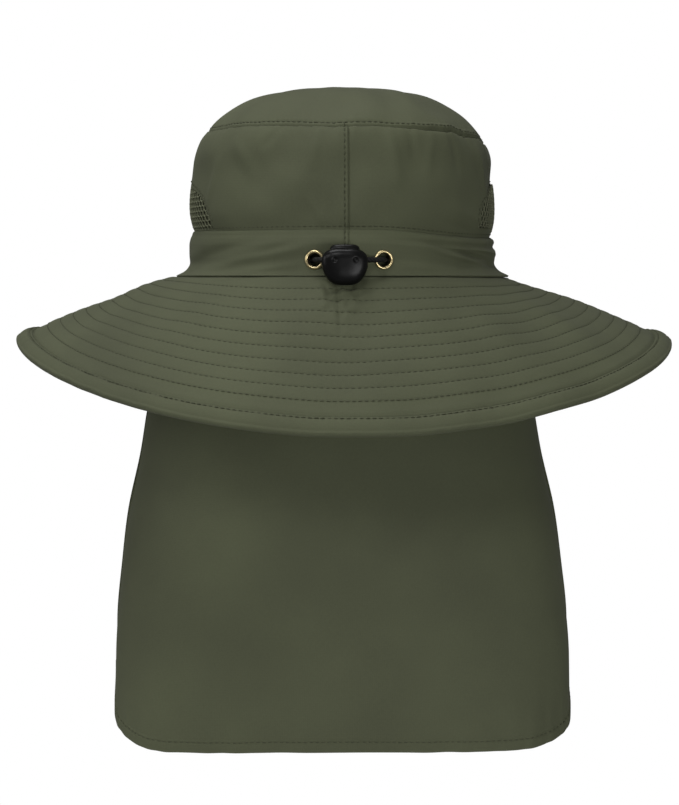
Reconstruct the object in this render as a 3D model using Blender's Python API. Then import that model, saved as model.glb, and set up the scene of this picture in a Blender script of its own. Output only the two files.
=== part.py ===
# Flap sun hat: a soft crown with vent mesh in its sides, a drawcord band with a cord
# lock, a wide drooping brim and a neck flap that hangs from inside the brim seam.
# The back of the hat, with flap and lock, faces -Y. The wearer faces +Y, and +Z is up.
# The origin is the middle of the head opening, level with the brim seam.
# Angles run round the hat from the back: 0 is the back, 90 degrees is +X.

import math

import bmesh
import bpy
from mathutils import Matrix, Vector

# Sizes in metres.

CLOTH = 0.0012  # wall of the crown, band and flap
GAP = 0.0003  # left between touching pieces
COLUMNS = 48  # round the crown, band and flap
BRIM_COLUMNS = 60

OVAL_LONGER = 0.017  # the head oval's half depth less its half width

BAND_HEIGHT = 0.027
BAND_HALF_WIDTH = 0.0884  # over the cord
BAND_FLARE = 0.0072  # how far its foot spreads at the sides
BAND_BACK_FLARE = 0.12  # share of that spread at the back and front
TUNNEL_DEPTH = 0.0047  # from the band's inner face to the crown wall
TUNNEL_SHOULDER = 0.3  # share of the way out that the wall has come halfway up to the seam
CORD_HEIGHT = 0.0092

CROWN_INSET = 0.0011  # its widest line inside the band's
CROWN_HALF_WIDTH = BAND_HALF_WIDTH - CROWN_INSET
CROWN_SEAM_HEIGHT = 0.084  # where the top panel is sewn on
CROWN_RISE = 0.0245  # the top panel's dome

WINDOW_LENGTH = 0.116
WINDOW_HEIGHT = 0.027
WINDOW_FORWARD = 0.003  # its middle stands this far forward of the hat's
WINDOW_GAP = 0.0004
WINDOW_ARCH = 0.8  # 1 is a half ellipse, less gives it squarer shoulders
WINDOW_STEPS = 14  # round its arch
WINDOW_CUT_SHARE = 0.6  # its cutter starts at this share of the crown's half width

BRIM_WIDTH = 0.100
BRIM_THICKNESS = 0.002
BRIM_SEAM_GAP = 0.0005  # from the crown wall to the brim's inner edge
BRIM_SIDE_DROOP = math.radians(20.7)
BRIM_BACK_DROOP = math.radians(50.4)
BRIM_FRONT_DROOP = math.radians(27.0)
BRIM_LEFT_LIFT = math.radians(1.2)  # how much less the left side droops
BRIM_LIFT_POWER = 4  # how closely that lift keeps to the left side
BRIM_SIDEWAYS = 0.0025  # its edge sits this far to the right of the crown's middle
BRIM_CURL = math.radians(7.7)  # how much steeper the edge is than the root
DROOP_POWER = 1.5  # how quickly the droop changes from the back to the sides
SLOPE_STEPS = 12  # in adding up the brim's slope across its width

BINDING_WIDTH = 0.0095
BINDING_CLOTH = 0.0009

FLAP_TUCK = 0.008  # how far its top edge reaches up inside the crown
FLAP_DROP = 0.257  # from the brim seam to the hem
FLAP_HEM_HALF_WIDTH = 0.1284
FLAP_HEM_DEPTH = 0.052  # how far the hem curls forward at its sides
FLAP_HEM_BACK = 0.097  # how far behind the origin the hem's middle hangs
FLAP_SQUARENESS = 3.2  # the hem's plan, where 2 is an ellipse
FLAP_WAVE = 0.0018  # depth of its hanging folds
FLAP_FOLDS = 2
FLAP_CORNER_LENGTH = 0.066
FLAP_CORNER_HEIGHT = 0.030

EYELET_SPREAD = 0.0360  # between the two eyelets' middles
EYELET_SIDEWAYS = 0.0015  # their shared middle from the hat's middle
EYELET_RADIUS = 0.00525
EYELET_BORE = 0.0034  # radius
EYELET_WALL = 0.0005
EYELET_RIM = 0.0008
EYELET_WASHER = 0.0004
EYELET_WASHER_INSET = 0.00075  # the washer's edge inside the rim's
EYELET_SEAT = 0.00045  # from the cloth to the rim and the washer
EYELET_SIDES = 16

CORD_DIAMETER = 0.003
CORD_WALL_GAP = 0.0005  # from the cord to the crown wall
CORD_TUNNEL_STEPS = 40
CORD_END_POINTS = 17  # from inside the lock to the tunnel
CORD_TUNNEL_START = math.radians(5)  # past the eyelet

LOCK_WIDTH = 0.0236
LOCK_DEPTH = 0.013
LOCK_TOP = 0.0135
LOCK_BOTTOM = -0.0031
LOCK_SIDEWAYS = -0.0011  # its middle from the hat's middle
LOCK_STAND = 0.0010  # from the band to the lock
LOCK_NARROWING = 0.08  # how much lower its left end is than its right
LOCK_BORE = 0.0019  # radius
LOCK_BORE_BACK = 0.001  # from the lock's middle back to the bore's
LOCK_MOUTH = 0.0034  # radius of the bore's flared ends
LOCK_MOUTH_START = 0.00247  # radius where the flare starts
LOCK_MOUTH_REACH = 0.001  # past the wall of the button's well
LOCK_FRONT_POWER = 2.7  # its outline from the front, where 2 is an ellipse
LOCK_DEPTH_POWER = 3.0  # its section from front to back
LOCK_ROUND_STEPS = 24
LOCK_DEPTH_STEPS = 10
BORE_SIDES = 12
DIMPLE_RADIUS = 0.0019
DIMPLE_SPACING = 0.011
DIMPLE_DEPTH = 0.0009

BUTTON_WIDTH = 0.0156
BUTTON_DEPTH = 0.0078
BUTTON_PROUD = 0.003  # its top over the lock's top, at rest
BUTTON_TRAVEL = 0.0028
BUTTON_FOOT = 0.0065  # its foot under the cord's middle
BUTTON_DOME = 0.0012
BUTTON_CLEARANCE = 0.0003
BUTTON_POWER = 2.8  # its outline from above
BUTTON_STEPS = 20

SHARP_EDGE = math.radians(40)

# The crown wall between the band and its top seam.
# height: share of CROWN_SEAM_HEIGHT. width: share of CROWN_HALF_WIDTH.
CROWN_PROFILE = [
    # height, width
    (1.00, 0.888),
    (0.93, 0.940),
    (0.84, 0.974),
    (0.70, 0.989),
    (0.57, 1.000),
    (0.43, 0.990),
]

# The top panel, from its seam to its middle.
# width: share of the seam's half width. height: share of CROWN_RISE.
TOP_PROFILE = [
    # width, height
    (1.00, 0.00),
    (0.95, 0.17),
    (0.85, 0.43),
    (0.70, 0.71),
    (0.48, 0.88),
    (0.24, 0.965),
]

# The band's outer face from its top edge down to its flared foot.
# height: share of BAND_HEIGHT. width: share of BAND_HALF_WIDTH. flare: share of the spread.
BAND_PROFILE = [
    # height, width, flare
    (1.00, 0.971, 0.00),
    (0.86, 0.989, 0.00),
    (0.70, 1.000, 0.00),
    (0.45, 0.999, 0.00),
    (0.26, 1.000, 0.04),
    (0.13, 1.002, 0.42),
]

# Soft hollows in the crown wall.
# angle: degrees from the back. height: share of CROWN_SEAM_HEIGHT. spans likewise.
# depth: share of CLOTH.
CROWN_DENTS = [
    # angle, angle span, height, height span, depth
    (-38, 26, 0.66, 0.26, 1.2),
    (33, 22, 0.78, 0.20, 1.5),
    (74, 24, 0.60, 0.22, 1.0),
    (150, 34, 0.66, 0.24, 1.2),
    (-128, 30, 0.72, 0.20, 1.0),
]

# The flap from its sewn edge to its hem. spread: how far its width has grown to the hem's.
# turn: how far its plan has changed from the head oval to the hem's plan.
FLAP_ROWS = [
    # drop, spread, turn
    (0.000, 0.00, 0.00),
    (0.045, 0.00, 0.00),
    (0.100, 0.16, 0.03),
    (0.200, 0.43, 0.12),
    (0.330, 0.63, 0.27),
    (0.480, 0.75, 0.45),
    (0.610, 0.88, 0.62),
    (0.740, 0.95, 0.77),
    (0.880, 1.00, 0.92),
    (1.000, 1.00, 1.00),
]

BRIM_ROWS = [0.0, 0.16, 0.40, 0.66, 0.90, 1.0]  # shares of BRIM_WIDTH

# The button's domed top, from its rim to its middle.
# width: share of the outline below it. rise: share of BUTTON_DOME.
BUTTON_CROWN = [
    # width, rise
    (0.92, 0.6),
    (0.78, 0.4),
]

# The cord's own route, chosen by hand: first inside the lock, then through an eyelet.
# along: share of the way from the lock's middle to its end.
CORD_IN_LOCK = [0.0, 0.3, 0.6]
# back: from the eyelet's middle towards the back of the hat. out: from the face named.
# Both are shares of CORD_DIAMETER.
CORD_BENDS = {
    # face: (back, out)
    "rim": (0.50, 0.45),
    "cloth": (0.05, 0.0),
    "washer": (-0.18, 0.0),
    "tunnel": (-0.95, 0.08),
}
CORD_LOCK_END = (0.9, 0.03)  # in from the lock's end and forward, as shares of the same

FINISHES = {
    # name: (colour, roughness, metallic)
    "olive_polyester": ((0.085, 0.096, 0.056), 0.82, 0.0),
    "vent_mesh": ((0.060, 0.068, 0.040), 0.85, 0.0),
    "brass": ((0.62, 0.47, 0.18), 0.32, 1.0),
    "black_plastic": ((0.012, 0.012, 0.013), 0.45, 0.0),
    "black_cord": ((0.014, 0.014, 0.014), 0.75, 0.0),
}


# Small helpers


def clear_scene():
    for thing in list(bpy.data.objects):
        bpy.data.objects.remove(thing, do_unlink=True)


def make_material(name):
    rgb, roughness, metallic = FINISHES[name]
    made = bpy.data.materials.new(name)
    made.use_nodes = True
    shader = made.node_tree.nodes["Principled BSDF"]
    shader.inputs["Base Color"].default_value = (*rgb, 1.0)
    shader.inputs["Roughness"].default_value = roughness
    shader.inputs["Metallic"].default_value = metallic
    return made


def add_object(name, bm, material):
    """Turn a bmesh into a smooth-shaded object in the scene."""
    mesh = bpy.data.meshes.new(name)
    bm.to_mesh(mesh)
    bm.free()
    mesh.shade_smooth()
    mesh.set_sharp_from_angle(angle=SHARP_EDGE)
    thing = bpy.data.objects.new(name, mesh)
    bpy.context.scene.collection.objects.link(thing)
    if material:
        thing.data.materials.append(material)
    return thing


def grid_sheet(rows, closed, pole=None):
    """A sheet of quads through rows of points, closed round or open, with an optional pole."""
    bm = bmesh.new()
    grid = [[bm.verts.new(point) for point in row] for row in rows]
    count = len(rows[0])
    last = count if closed else count - 1
    for upper, lower in zip(grid, grid[1:]):
        for i in range(last):
            j = (i + 1) % count
            bm.faces.new((upper[i], lower[i], lower[j], upper[j]))
    if pole is not None:
        middle = bm.verts.new(pole)
        for i in range(last):
            j = (i + 1) % count
            bm.faces.new((middle, grid[0][i], grid[0][j]))
    return bm


def swept_ring(sections):
    """A closed ring through closed sections."""
    bm = bmesh.new()
    grid = [[bm.verts.new(point) for point in section] for section in sections]
    count = len(sections[0])
    for k, here in enumerate(grid):
        there = grid[(k + 1) % len(grid)]
        for i in range(count):
            j = (i + 1) % count
            bm.faces.new((here[i], here[j], there[j], there[i]))
    bmesh.ops.recalc_face_normals(bm, faces=bm.faces)
    return bm


def extruded_prism(outline, offset):
    """A solid from a closed outline of points, moved along one vector."""
    bm = bmesh.new()
    low = [bm.verts.new(point) for point in outline]
    high = [bm.verts.new(Vector(point) + Vector(offset)) for point in outline]
    bm.faces.new(low)
    bm.faces.new(list(reversed(high)))
    for i, here in enumerate(low):
        j = (i + 1) % len(low)
        bm.faces.new((here, high[i], high[j], low[j]))
    bmesh.ops.recalc_face_normals(bm, faces=bm.faces)
    return bm


def thicken(thing, wall):
    """Give a sheet its wall, inwards from the modelled face."""
    solid = thing.modifiers.new("wall", "SOLIDIFY")
    solid.thickness = wall
    solid.offset = -1.0
    solid.use_even_offset = True


def cut(thing, cutter, operation="DIFFERENCE"):
    cutter.hide_render = True
    cutter.display_type = "WIRE"
    boolean = thing.modifiers.new(cutter.name, "BOOLEAN")
    boolean.operation = operation
    boolean.solver = "EXACT"
    boolean.object = cutter


def blend(low, high, share):
    return low + (high - low) * share


def bump(distance, span):
    """1 at the middle, falling softly to 0 at the span."""
    if abs(distance) >= span:
        return 0.0
    return 0.5 + 0.5 * math.cos(math.pi * distance / span)


def ring_angles(columns):
    return [2 * math.pi * i / columns for i in range(columns)]


def oval(half_width, angle, height):
    """A point on a head-shaped oval."""
    half_depth = half_width + OVAL_LONGER
    return Vector((half_width * math.sin(angle), -half_depth * math.cos(angle), height))


def oval_outward(half_width, angle):
    """The horizontal direction square to the oval there."""
    half_depth = half_width + OVAL_LONGER
    return Vector((math.sin(angle) / half_width, -math.cos(angle) / half_depth, 0)).normalized()


# Shared shapes of the crown and band


def foot_flare(angle):
    side = math.sin(angle) ** 2
    return BAND_FLARE * blend(BAND_BACK_FLARE, 1.0, side)


def band_half_width(share, flare, angle):
    return BAND_HALF_WIDTH * share + foot_flare(angle) * flare


def tunnel_wall_half_width():
    """The crown wall's outer face behind the cord."""
    return BAND_HALF_WIDTH - CLOTH - TUNNEL_DEPTH


def dent(angle, height):
    total = 0.0
    degrees = math.degrees(angle)
    for middle, span, level, level_span, depth in CROWN_DENTS:
        turned = (degrees - middle + 180) % 360 - 180
        up = height / CROWN_SEAM_HEIGHT - level
        total += depth * CLOTH * bump(turned, span) * bump(up, level_span)
    return total


def crown_rows():
    """The crown wall's outer face from the top seam to under the brim."""
    levels = [(h * CROWN_SEAM_HEIGHT, w * CROWN_HALF_WIDTH) for h, w in CROWN_PROFILE]
    levels[0] = (levels[0][0] - GAP / 2, levels[0][1])
    sewn = BAND_PROFILE[0][1] * BAND_HALF_WIDTH - CLOTH - GAP
    inner = tunnel_wall_half_width()
    levels.append((BAND_HEIGHT, sewn))
    levels.append(((CORD_HEIGHT + BAND_HEIGHT) / 2, blend(inner, sewn, TUNNEL_SHOULDER)))
    levels.append((CORD_HEIGHT, inner))
    levels.append((-BRIM_THICKNESS, inner))
    rows = []
    for height, half_width in levels:
        row = []
        for angle in ring_angles(COLUMNS):
            row.append(oval(half_width - dent(angle, height), angle, height))
        rows.append(row)
    return rows


def window_outline(grow, x):
    """The arched vent window, seen from the side, at the given x."""
    half = WINDOW_LENGTH / 2 + grow
    sill = BAND_HEIGHT - grow
    outline = []
    for i in range(WINDOW_STEPS + 1):
        turn = math.pi * i / WINDOW_STEPS
        y = WINDOW_FORWARD + half * math.cos(turn)
        z = sill + (WINDOW_HEIGHT + 2 * grow) * math.sin(turn) ** WINDOW_ARCH
        outline.append((x, y, z))
    return outline


def window_prism(name, side, grow):
    near = side * CROWN_HALF_WIDTH * WINDOW_CUT_SHARE
    outline = window_outline(grow, near)
    prism = extruded_prism(outline, (near, 0, 0))
    return add_object(name, prism, None)


# The crown


def make_crown_top(material):
    seam_height, seam_width = CROWN_PROFILE[0]
    base = seam_height * CROWN_SEAM_HEIGHT + GAP / 2
    rows = []
    for width, height in reversed(TOP_PROFILE):
        half_width = width * seam_width * CROWN_HALF_WIDTH
        level = base + height * CROWN_RISE
        row = []
        for angle in ring_angles(COLUMNS):
            stretched = OVAL_LONGER * width
            x = half_width * math.sin(angle)
            y = -(half_width + stretched) * math.cos(angle)
            row.append(Vector((x, y, level)))
        rows.append(row)
    sheet = grid_sheet(rows, closed=True, pole=(0, 0, base + CROWN_RISE))
    top = add_object("crown_top", sheet, material)
    thicken(top, CLOTH)
    return top


def make_crown_side(material):
    side = add_object("crown_side", grid_sheet(crown_rows(), closed=True), material)
    thicken(side, CLOTH)
    for name, sign in (("left_window_cut", -1), ("right_window_cut", 1)):
        cut(side, window_prism(name, sign, 0.0))
    return side


def make_mesh_panels(material):
    for name, sign in (("mesh_panel_left", -1), ("mesh_panel_right", 1)):
        panel = add_object(name, grid_sheet(crown_rows(), closed=True), material)
        thicken(panel, CLOTH)
        cut(panel, window_prism(name + "_edge", sign, -WINDOW_GAP), "INTERSECT")


# The band and its eyelets


def eyelet_angle(side):
    sideways = side * EYELET_SPREAD / 2 + EYELET_SIDEWAYS
    return math.asin(sideways / BAND_HALF_WIDTH)


def eyelet_frame(side):
    """The eyelet's middle on the band's outer face: x towards the back, y up, z outwards."""
    angle = eyelet_angle(side)
    middle = oval(BAND_HALF_WIDTH, angle, CORD_HEIGHT)
    outward = oval_outward(BAND_HALF_WIDTH, angle)
    towards_back = Vector((0, 0, 1)).cross(outward) * -side
    up = outward.cross(towards_back)
    axes = Matrix((towards_back, up, outward)).transposed()
    return Matrix.Translation(middle) @ axes.to_4x4()


def make_band(material):
    rows = []
    for height, width, flare in BAND_PROFILE:
        row = []
        for angle in ring_angles(COLUMNS):
            level = height * BAND_HEIGHT
            row.append(oval(band_half_width(width, flare, angle), angle, level))
        rows.append(row)
    foot = []
    for angle in ring_angles(COLUMNS):
        half_width = band_half_width(BAND_PROFILE[-1][1], 1.0, angle)
        foot.append(oval(half_width, angle, CLOTH + GAP))
    rows.append(foot)
    band = add_object("band", grid_sheet(rows, closed=True), material)
    thicken(band, CLOTH)
    for name, side in (("left_eyelet_cut", -1), ("right_eyelet_cut", 1)):
        bm = bmesh.new()
        bmesh.ops.create_cone(
            bm,
            cap_ends=True,
            segments=EYELET_SIDES,
            radius1=EYELET_BORE + EYELET_WALL + GAP,
            radius2=EYELET_BORE + EYELET_WALL + GAP,
            depth=TUNNEL_DEPTH,
        )
        bm.transform(eyelet_frame(side))
        cut(band, add_object(name, bm, None))
    return band


def make_eyelets(material):
    shank = EYELET_BORE + EYELET_WALL
    face = EYELET_SEAT + EYELET_RIM
    back = -CLOTH - EYELET_SEAT
    washer = EYELET_RADIUS - EYELET_WASHER_INSET
    profile = [
        (EYELET_BORE, face - EYELET_WALL / 2),
        (shank, face),
        (blend(shank, EYELET_RADIUS, 0.5), face),
        (EYELET_RADIUS, face - EYELET_RIM / 2),
        (EYELET_RADIUS, EYELET_SEAT),
        (shank, EYELET_SEAT),
        (shank, back),
        (washer, back),
        (washer, back - EYELET_WASHER),
        (EYELET_BORE, back - EYELET_WASHER),
    ]
    for name, side in (("eyelet_left", -1), ("eyelet_right", 1)):
        sections = []
        for angle in ring_angles(EYELET_SIDES):
            spoke = Vector((math.cos(angle), math.sin(angle), 0))
            sections.append([spoke * r + Vector((0, 0, h)) for r, h in profile])
        bm = swept_ring(sections)
        bm.transform(eyelet_frame(side))
        add_object(name, bm, material)


# The brim


def mean_droop(angle):
    forward = BRIM_BACK_DROOP if math.cos(angle) > 0 else BRIM_FRONT_DROOP
    droop = blend(BRIM_SIDE_DROOP, forward, abs(math.cos(angle)) ** DROOP_POWER)
    return droop - BRIM_LEFT_LIFT * max(0.0, -math.sin(angle)) ** BRIM_LIFT_POWER


def brim_slope(angle, share):
    return mean_droop(angle) + BRIM_CURL * (share - 0.5)


def brim_point(angle, share):
    """A point on the brim's top face, this share of its width from the band's foot."""
    step = share * BRIM_WIDTH / SLOPE_STEPS
    reach = 0.0
    drop = 0.0
    for i in range(SLOPE_STEPS):
        slope = brim_slope(angle, share * (i + 0.5) / SLOPE_STEPS)
        reach += math.cos(slope) * step
        drop += math.sin(slope) * step
    foot = band_half_width(BAND_PROFILE[-1][1], 1.0, angle)
    return oval(foot + reach, angle, -drop) + Vector((BRIM_SIDEWAYS * share, 0, 0))


def make_brim(material):
    rows = []
    inner = tunnel_wall_half_width() + BRIM_SEAM_GAP
    rows.append([oval(inner, angle, 0) for angle in ring_angles(BRIM_COLUMNS)])
    for share in BRIM_ROWS:
        rows.append([brim_point(angle, share) for angle in ring_angles(BRIM_COLUMNS)])
    brim = add_object("brim", grid_sheet(rows, closed=True), material)
    thicken(brim, BRIM_THICKNESS)
    return brim


def make_brim_binding(material):
    """A folded strip over the brim's edge, clear of its two faces."""
    fold = BINDING_CLOTH + GAP
    under = -BRIM_THICKNESS - GAP
    section = [
        # along the brim past its edge, up from its top face
        (-BINDING_WIDTH, GAP),
        (GAP, GAP),
        (GAP, under),
        (-BINDING_WIDTH, under),
        (-BINDING_WIDTH, under - BINDING_CLOTH),
        (0, under - BINDING_CLOTH),
        (fold, -BRIM_THICKNESS / 2),
        (0, fold),
        (-BINDING_WIDTH / 2, fold + GAP),
        (-BINDING_WIDTH, fold),
    ]
    step = 2 * math.pi / BRIM_COLUMNS
    sections = []
    for angle in ring_angles(BRIM_COLUMNS):
        edge = brim_point(angle, 1.0)
        along = (edge - brim_point(angle, BRIM_ROWS[-2])).normalized()
        round_edge = (brim_point(angle + step, 1.0) - brim_point(angle - step, 1.0)).normalized()
        up = along.cross(round_edge).normalized()
        sections.append([edge + along * out + up * rise for out, rise in section])
    add_object("brim_binding", swept_ring(sections), material)


# The neck flap


def flap_plan(turn, half_width, bearing):
    """A point of the flap's plan at a bearing from -90 to 90 degrees."""
    power = 2 / blend(2.0, FLAP_SQUARENESS, turn)
    x = half_width * math.copysign(abs(math.sin(bearing)) ** power, bearing)
    top_depth = flap_top_half_width() + OVAL_LONGER
    depth = blend(top_depth, FLAP_HEM_DEPTH, turn)
    back = blend(top_depth, FLAP_HEM_BACK, turn)
    y = depth * (1 - abs(math.cos(bearing)) ** power) - back
    return x, y


def flap_top_half_width():
    return tunnel_wall_half_width() - CLOTH - GAP


def corner_lift(along):
    """How far the hem rises this far along it from a side edge."""
    if along >= FLAP_CORNER_LENGTH:
        return 0.0
    share = 1 - along / FLAP_CORNER_LENGTH
    return FLAP_CORNER_HEIGHT * (1 - math.sqrt(1 - share**2))


def flap_bearings():
    """The same bearings as the crown's columns, over the back half."""
    count = COLUMNS // 2
    return [math.pi * (i / count - 0.5) for i in range(count + 1)]


def hem_lifts():
    plan = [Vector(flap_plan(1.0, FLAP_HEM_HALF_WIDTH, b)) for b in flap_bearings()]
    along = [0.0]
    for here, there in zip(plan, plan[1:]):
        along.append(along[-1] + (there - here).length)
    return [corner_lift(min(reach, along[-1] - reach)) for reach in along]


def flap_wave(bearing, drop):
    """Soft hanging folds with a shallow hollow in the middle."""
    return FLAP_WAVE * drop * -math.cos(2 * FLAP_FOLDS * bearing) * math.cos(bearing)


def make_neck_flap(material):
    rows = []
    lifts = hem_lifts()
    for drop, spread, turn in FLAP_ROWS:
        half_width = blend(flap_top_half_width(), FLAP_HEM_HALF_WIDTH, spread)
        row = []
        for bearing, lift in zip(flap_bearings(), lifts):
            x, y = flap_plan(turn, half_width, bearing)
            z = FLAP_TUCK - drop * (FLAP_TUCK + FLAP_DROP - lift)
            row.append(Vector((x, y - flap_wave(bearing, drop), z)))
        rows.append(row)
    flap = add_object("neck_flap", grid_sheet(rows, closed=False), material)
    thicken(flap, CLOTH)
    return flap


# The cord lock and its button


def lock_middle():
    """The middle of the lock's body."""
    foot = band_half_width(BAND_PROFILE[-2][1], BAND_PROFILE[-2][2], 0) + OVAL_LONGER
    y = -(foot + LOCK_STAND + LOCK_DEPTH / 2)
    return Vector((LOCK_SIDEWAYS, y, (LOCK_TOP + LOCK_BOTTOM) / 2))


def bore_depth():
    """Where the bore for the cord lies from front to back."""
    return lock_middle().y + LOCK_BORE_BACK


def superellipse(share, power):
    """Cosine and sine of a turn, squared up by the power."""
    c, s = math.cos(share), math.sin(share)
    return (
        math.copysign(abs(c) ** (2 / power), c),
        math.copysign(abs(s) ** (2 / power), s),
    )


def lock_blank():
    """A pebble with a flatter outline from the front and a narrower left end."""
    half = Vector((LOCK_WIDTH, LOCK_DEPTH, LOCK_TOP - LOCK_BOTTOM)) / 2
    middle = lock_middle()
    bm = bmesh.new()
    rings = []
    for k in range(1, LOCK_DEPTH_STEPS):
        turn = math.pi * k / LOCK_DEPTH_STEPS - math.pi / 2
        across, along = superellipse(turn, LOCK_DEPTH_POWER)
        ring = []
        for i in range(LOCK_ROUND_STEPS):
            c, s = superellipse(2 * math.pi * i / LOCK_ROUND_STEPS, LOCK_FRONT_POWER)
            narrow = 1 + LOCK_NARROWING * min(0.0, c)
            point = (half.x * across * c, half.y * along, half.z * across * s * narrow)
            ring.append(bm.verts.new(middle + Vector(point)))
        rings.append(ring)
    for here, there in zip(rings, rings[1:]):
        for i in range(LOCK_ROUND_STEPS):
            j = (i + 1) % LOCK_ROUND_STEPS
            bm.faces.new((here[i], here[j], there[j], there[i]))
    bm.faces.new(rings[0])
    bm.faces.new(rings[-1])
    bmesh.ops.recalc_face_normals(bm, faces=bm.faces)
    return bm


def button_outline(grow, z):
    middle = lock_middle()
    outline = []
    for i in range(BUTTON_STEPS):
        c, s = superellipse(2 * math.pi * i / BUTTON_STEPS, BUTTON_POWER)
        x = middle.x + (BUTTON_WIDTH / 2 + grow) * c
        y = middle.y + (BUTTON_DEPTH / 2 + grow) * s
        outline.append((x, y, z))
    return outline


def cord_bore(name, radius, length, x):
    """A round cutter along x at the cord's place in the lock."""
    bm = bmesh.new()
    bmesh.ops.create_cone(
        bm, cap_ends=True, segments=BORE_SIDES, radius1=radius, radius2=radius, depth=length
    )
    place = Matrix.Translation((x, bore_depth(), CORD_HEIGHT))
    bm.transform(place @ Matrix.Rotation(math.pi / 2, 4, "Y"))
    return add_object(name, bm, None)


def lock_mouth(name, side):
    """A cone cutter that flares one end of the lock's bore."""
    depth = (LOCK_WIDTH - BUTTON_WIDTH) / 2 + LOCK_MOUTH_REACH
    bm = bmesh.new()
    bmesh.ops.create_cone(
        bm,
        cap_ends=True,
        segments=BORE_SIDES,
        radius1=LOCK_MOUTH_START,
        radius2=LOCK_MOUTH,
        depth=depth,
    )
    x = lock_middle().x + side * (LOCK_WIDTH / 2 - depth / 2 + GAP)
    place = Matrix.Translation((x, bore_depth(), CORD_HEIGHT))
    bm.transform(place @ Matrix.Rotation(side * math.pi / 2, 4, "Y"))
    return add_object(name, bm, None)


def make_lock_body(material):
    body = add_object("cord_lock_body", lock_blank(), material)
    middle = lock_middle()
    floor = CORD_HEIGHT - BUTTON_FOOT - BUTTON_TRAVEL - BUTTON_CLEARANCE
    well = extruded_prism(
        button_outline(BUTTON_CLEARANCE, floor), (0, 0, LOCK_TOP - floor + BUTTON_PROUD)
    )
    cut(body, add_object("button_well_cut", well, None))
    cut(body, cord_bore("bore_cut", LOCK_BORE, LOCK_WIDTH + 2 * LOCK_MOUTH, middle.x))
    cut(body, lock_mouth("left_mouth_cut", -1))
    cut(body, lock_mouth("right_mouth_cut", 1))
    for name, side in (("left_dimple_cut", -1), ("right_dimple_cut", 1)):
        bm = bmesh.new()
        bmesh.ops.create_uvsphere(bm, u_segments=BORE_SIDES, v_segments=8, radius=DIMPLE_RADIUS)
        x = middle.x + side * DIMPLE_SPACING / 2
        y = middle.y - LOCK_DEPTH / 2 - DIMPLE_RADIUS + DIMPLE_DEPTH
        bm.transform(Matrix.Translation((x, y, CORD_HEIGHT)))
        cut(body, add_object(name, bm, None))
    return body


def make_lock_button(material):
    foot = CORD_HEIGHT - BUTTON_FOOT
    top = LOCK_TOP + BUTTON_PROUD
    bm = extruded_prism(button_outline(0.0, foot), (0, 0, top - BUTTON_DOME - foot))
    bm.faces.ensure_lookup_table()
    crown = max(bm.faces, key=lambda face: face.calc_center_median().z)
    for width, rise in BUTTON_CROWN:
        made = bmesh.ops.extrude_face_region(bm, geom=[crown])
        corners = [v for v in made["geom"] if isinstance(v, bmesh.types.BMVert)]
        bmesh.ops.delete(bm, geom=[crown], context="FACES_ONLY")
        crown = next(f for f in made["geom"] if isinstance(f, bmesh.types.BMFace))
        middle = crown.calc_center_median()
        for corner in corners:
            corner.co = middle + (corner.co - middle) * width
            corner.co.z += BUTTON_DOME * rise
    button = add_object("cord_lock_button", bm, material)
    gap = LOCK_BORE - CORD_DIAMETER / 2
    low = CORD_HEIGHT - CORD_DIAMETER / 2 - gap
    high = CORD_HEIGHT + CORD_DIAMETER / 2 + gap + BUTTON_TRAVEL
    x = lock_middle().x - BUTTON_WIDTH
    slot = []
    for z in (low, high):
        for side in (-1, 1):
            slot.append((x, bore_depth() + side * LOCK_BORE, z))
    slot = [slot[0], slot[1], slot[3], slot[2]]
    cutter = extruded_prism(slot, (2 * BUTTON_WIDTH, 0, 0))
    cut(button, add_object("cord_slot_cut", cutter, None))
    return button


# The cord, from inside the lock through the left eyelet, round the tunnel and back


def smooth_route(points, count):
    """Evenly spaced points on a smooth curve through the given ones."""
    steps = 24
    dense = []
    for k in range(len(points) - 1):
        before = points[max(k - 1, 0)]
        here, there = points[k], points[k + 1]
        after = points[min(k + 2, len(points) - 1)]
        for i in range(steps):
            t = i / steps
            dense.append(
                0.5
                * (
                    2 * here
                    + (there - before) * t
                    + (2 * before - 5 * here + 4 * there - after) * t**2
                    + (3 * here - before - 3 * there + after) * t**3
                )
            )
    dense.append(points[-1])
    along = [0.0]
    for here, there in zip(dense, dense[1:]):
        along.append(along[-1] + (there - here).length)
    even = []
    k = 0
    for i in range(count):
        wanted = along[-1] * i / (count - 1)
        while k < len(dense) - 2 and along[k + 1] < wanted:
            k += 1
        share = (wanted - along[k]) / max(along[k + 1] - along[k], 1e-9)
        even.append(dense[k].lerp(dense[k + 1], min(share, 1.0)))
    return even


def cord_half_width():
    return tunnel_wall_half_width() + CORD_WALL_GAP + CORD_DIAMETER / 2


def cord_end(side):
    """The cord from inside the lock out to the tunnel beside one eyelet."""
    middle = lock_middle()
    frame = eyelet_frame(side)
    in_tunnel = cord_half_width() - BAND_HALF_WIDTH
    mouth = middle.x + side * LOCK_WIDTH / 2
    points = []
    for along in CORD_IN_LOCK:
        points.append(Vector((blend(side * GAP, mouth, along), bore_depth(), CORD_HEIGHT)))
    inwards, forward = (share * CORD_DIAMETER for share in CORD_LOCK_END)
    points.append(Vector((mouth - side * inwards, bore_depth() + forward, CORD_HEIGHT)))
    faces = {
        "rim": EYELET_SEAT + EYELET_RIM,
        "cloth": -CLOTH / 2,
        "washer": -CLOTH - EYELET_SEAT - EYELET_WASHER,
        "tunnel": in_tunnel,
    }
    for face, (back, out) in CORD_BENDS.items():
        place = Vector((CORD_DIAMETER * back, 0, faces[face] + CORD_DIAMETER * out))
        points.append(frame @ place)
    return points


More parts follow.
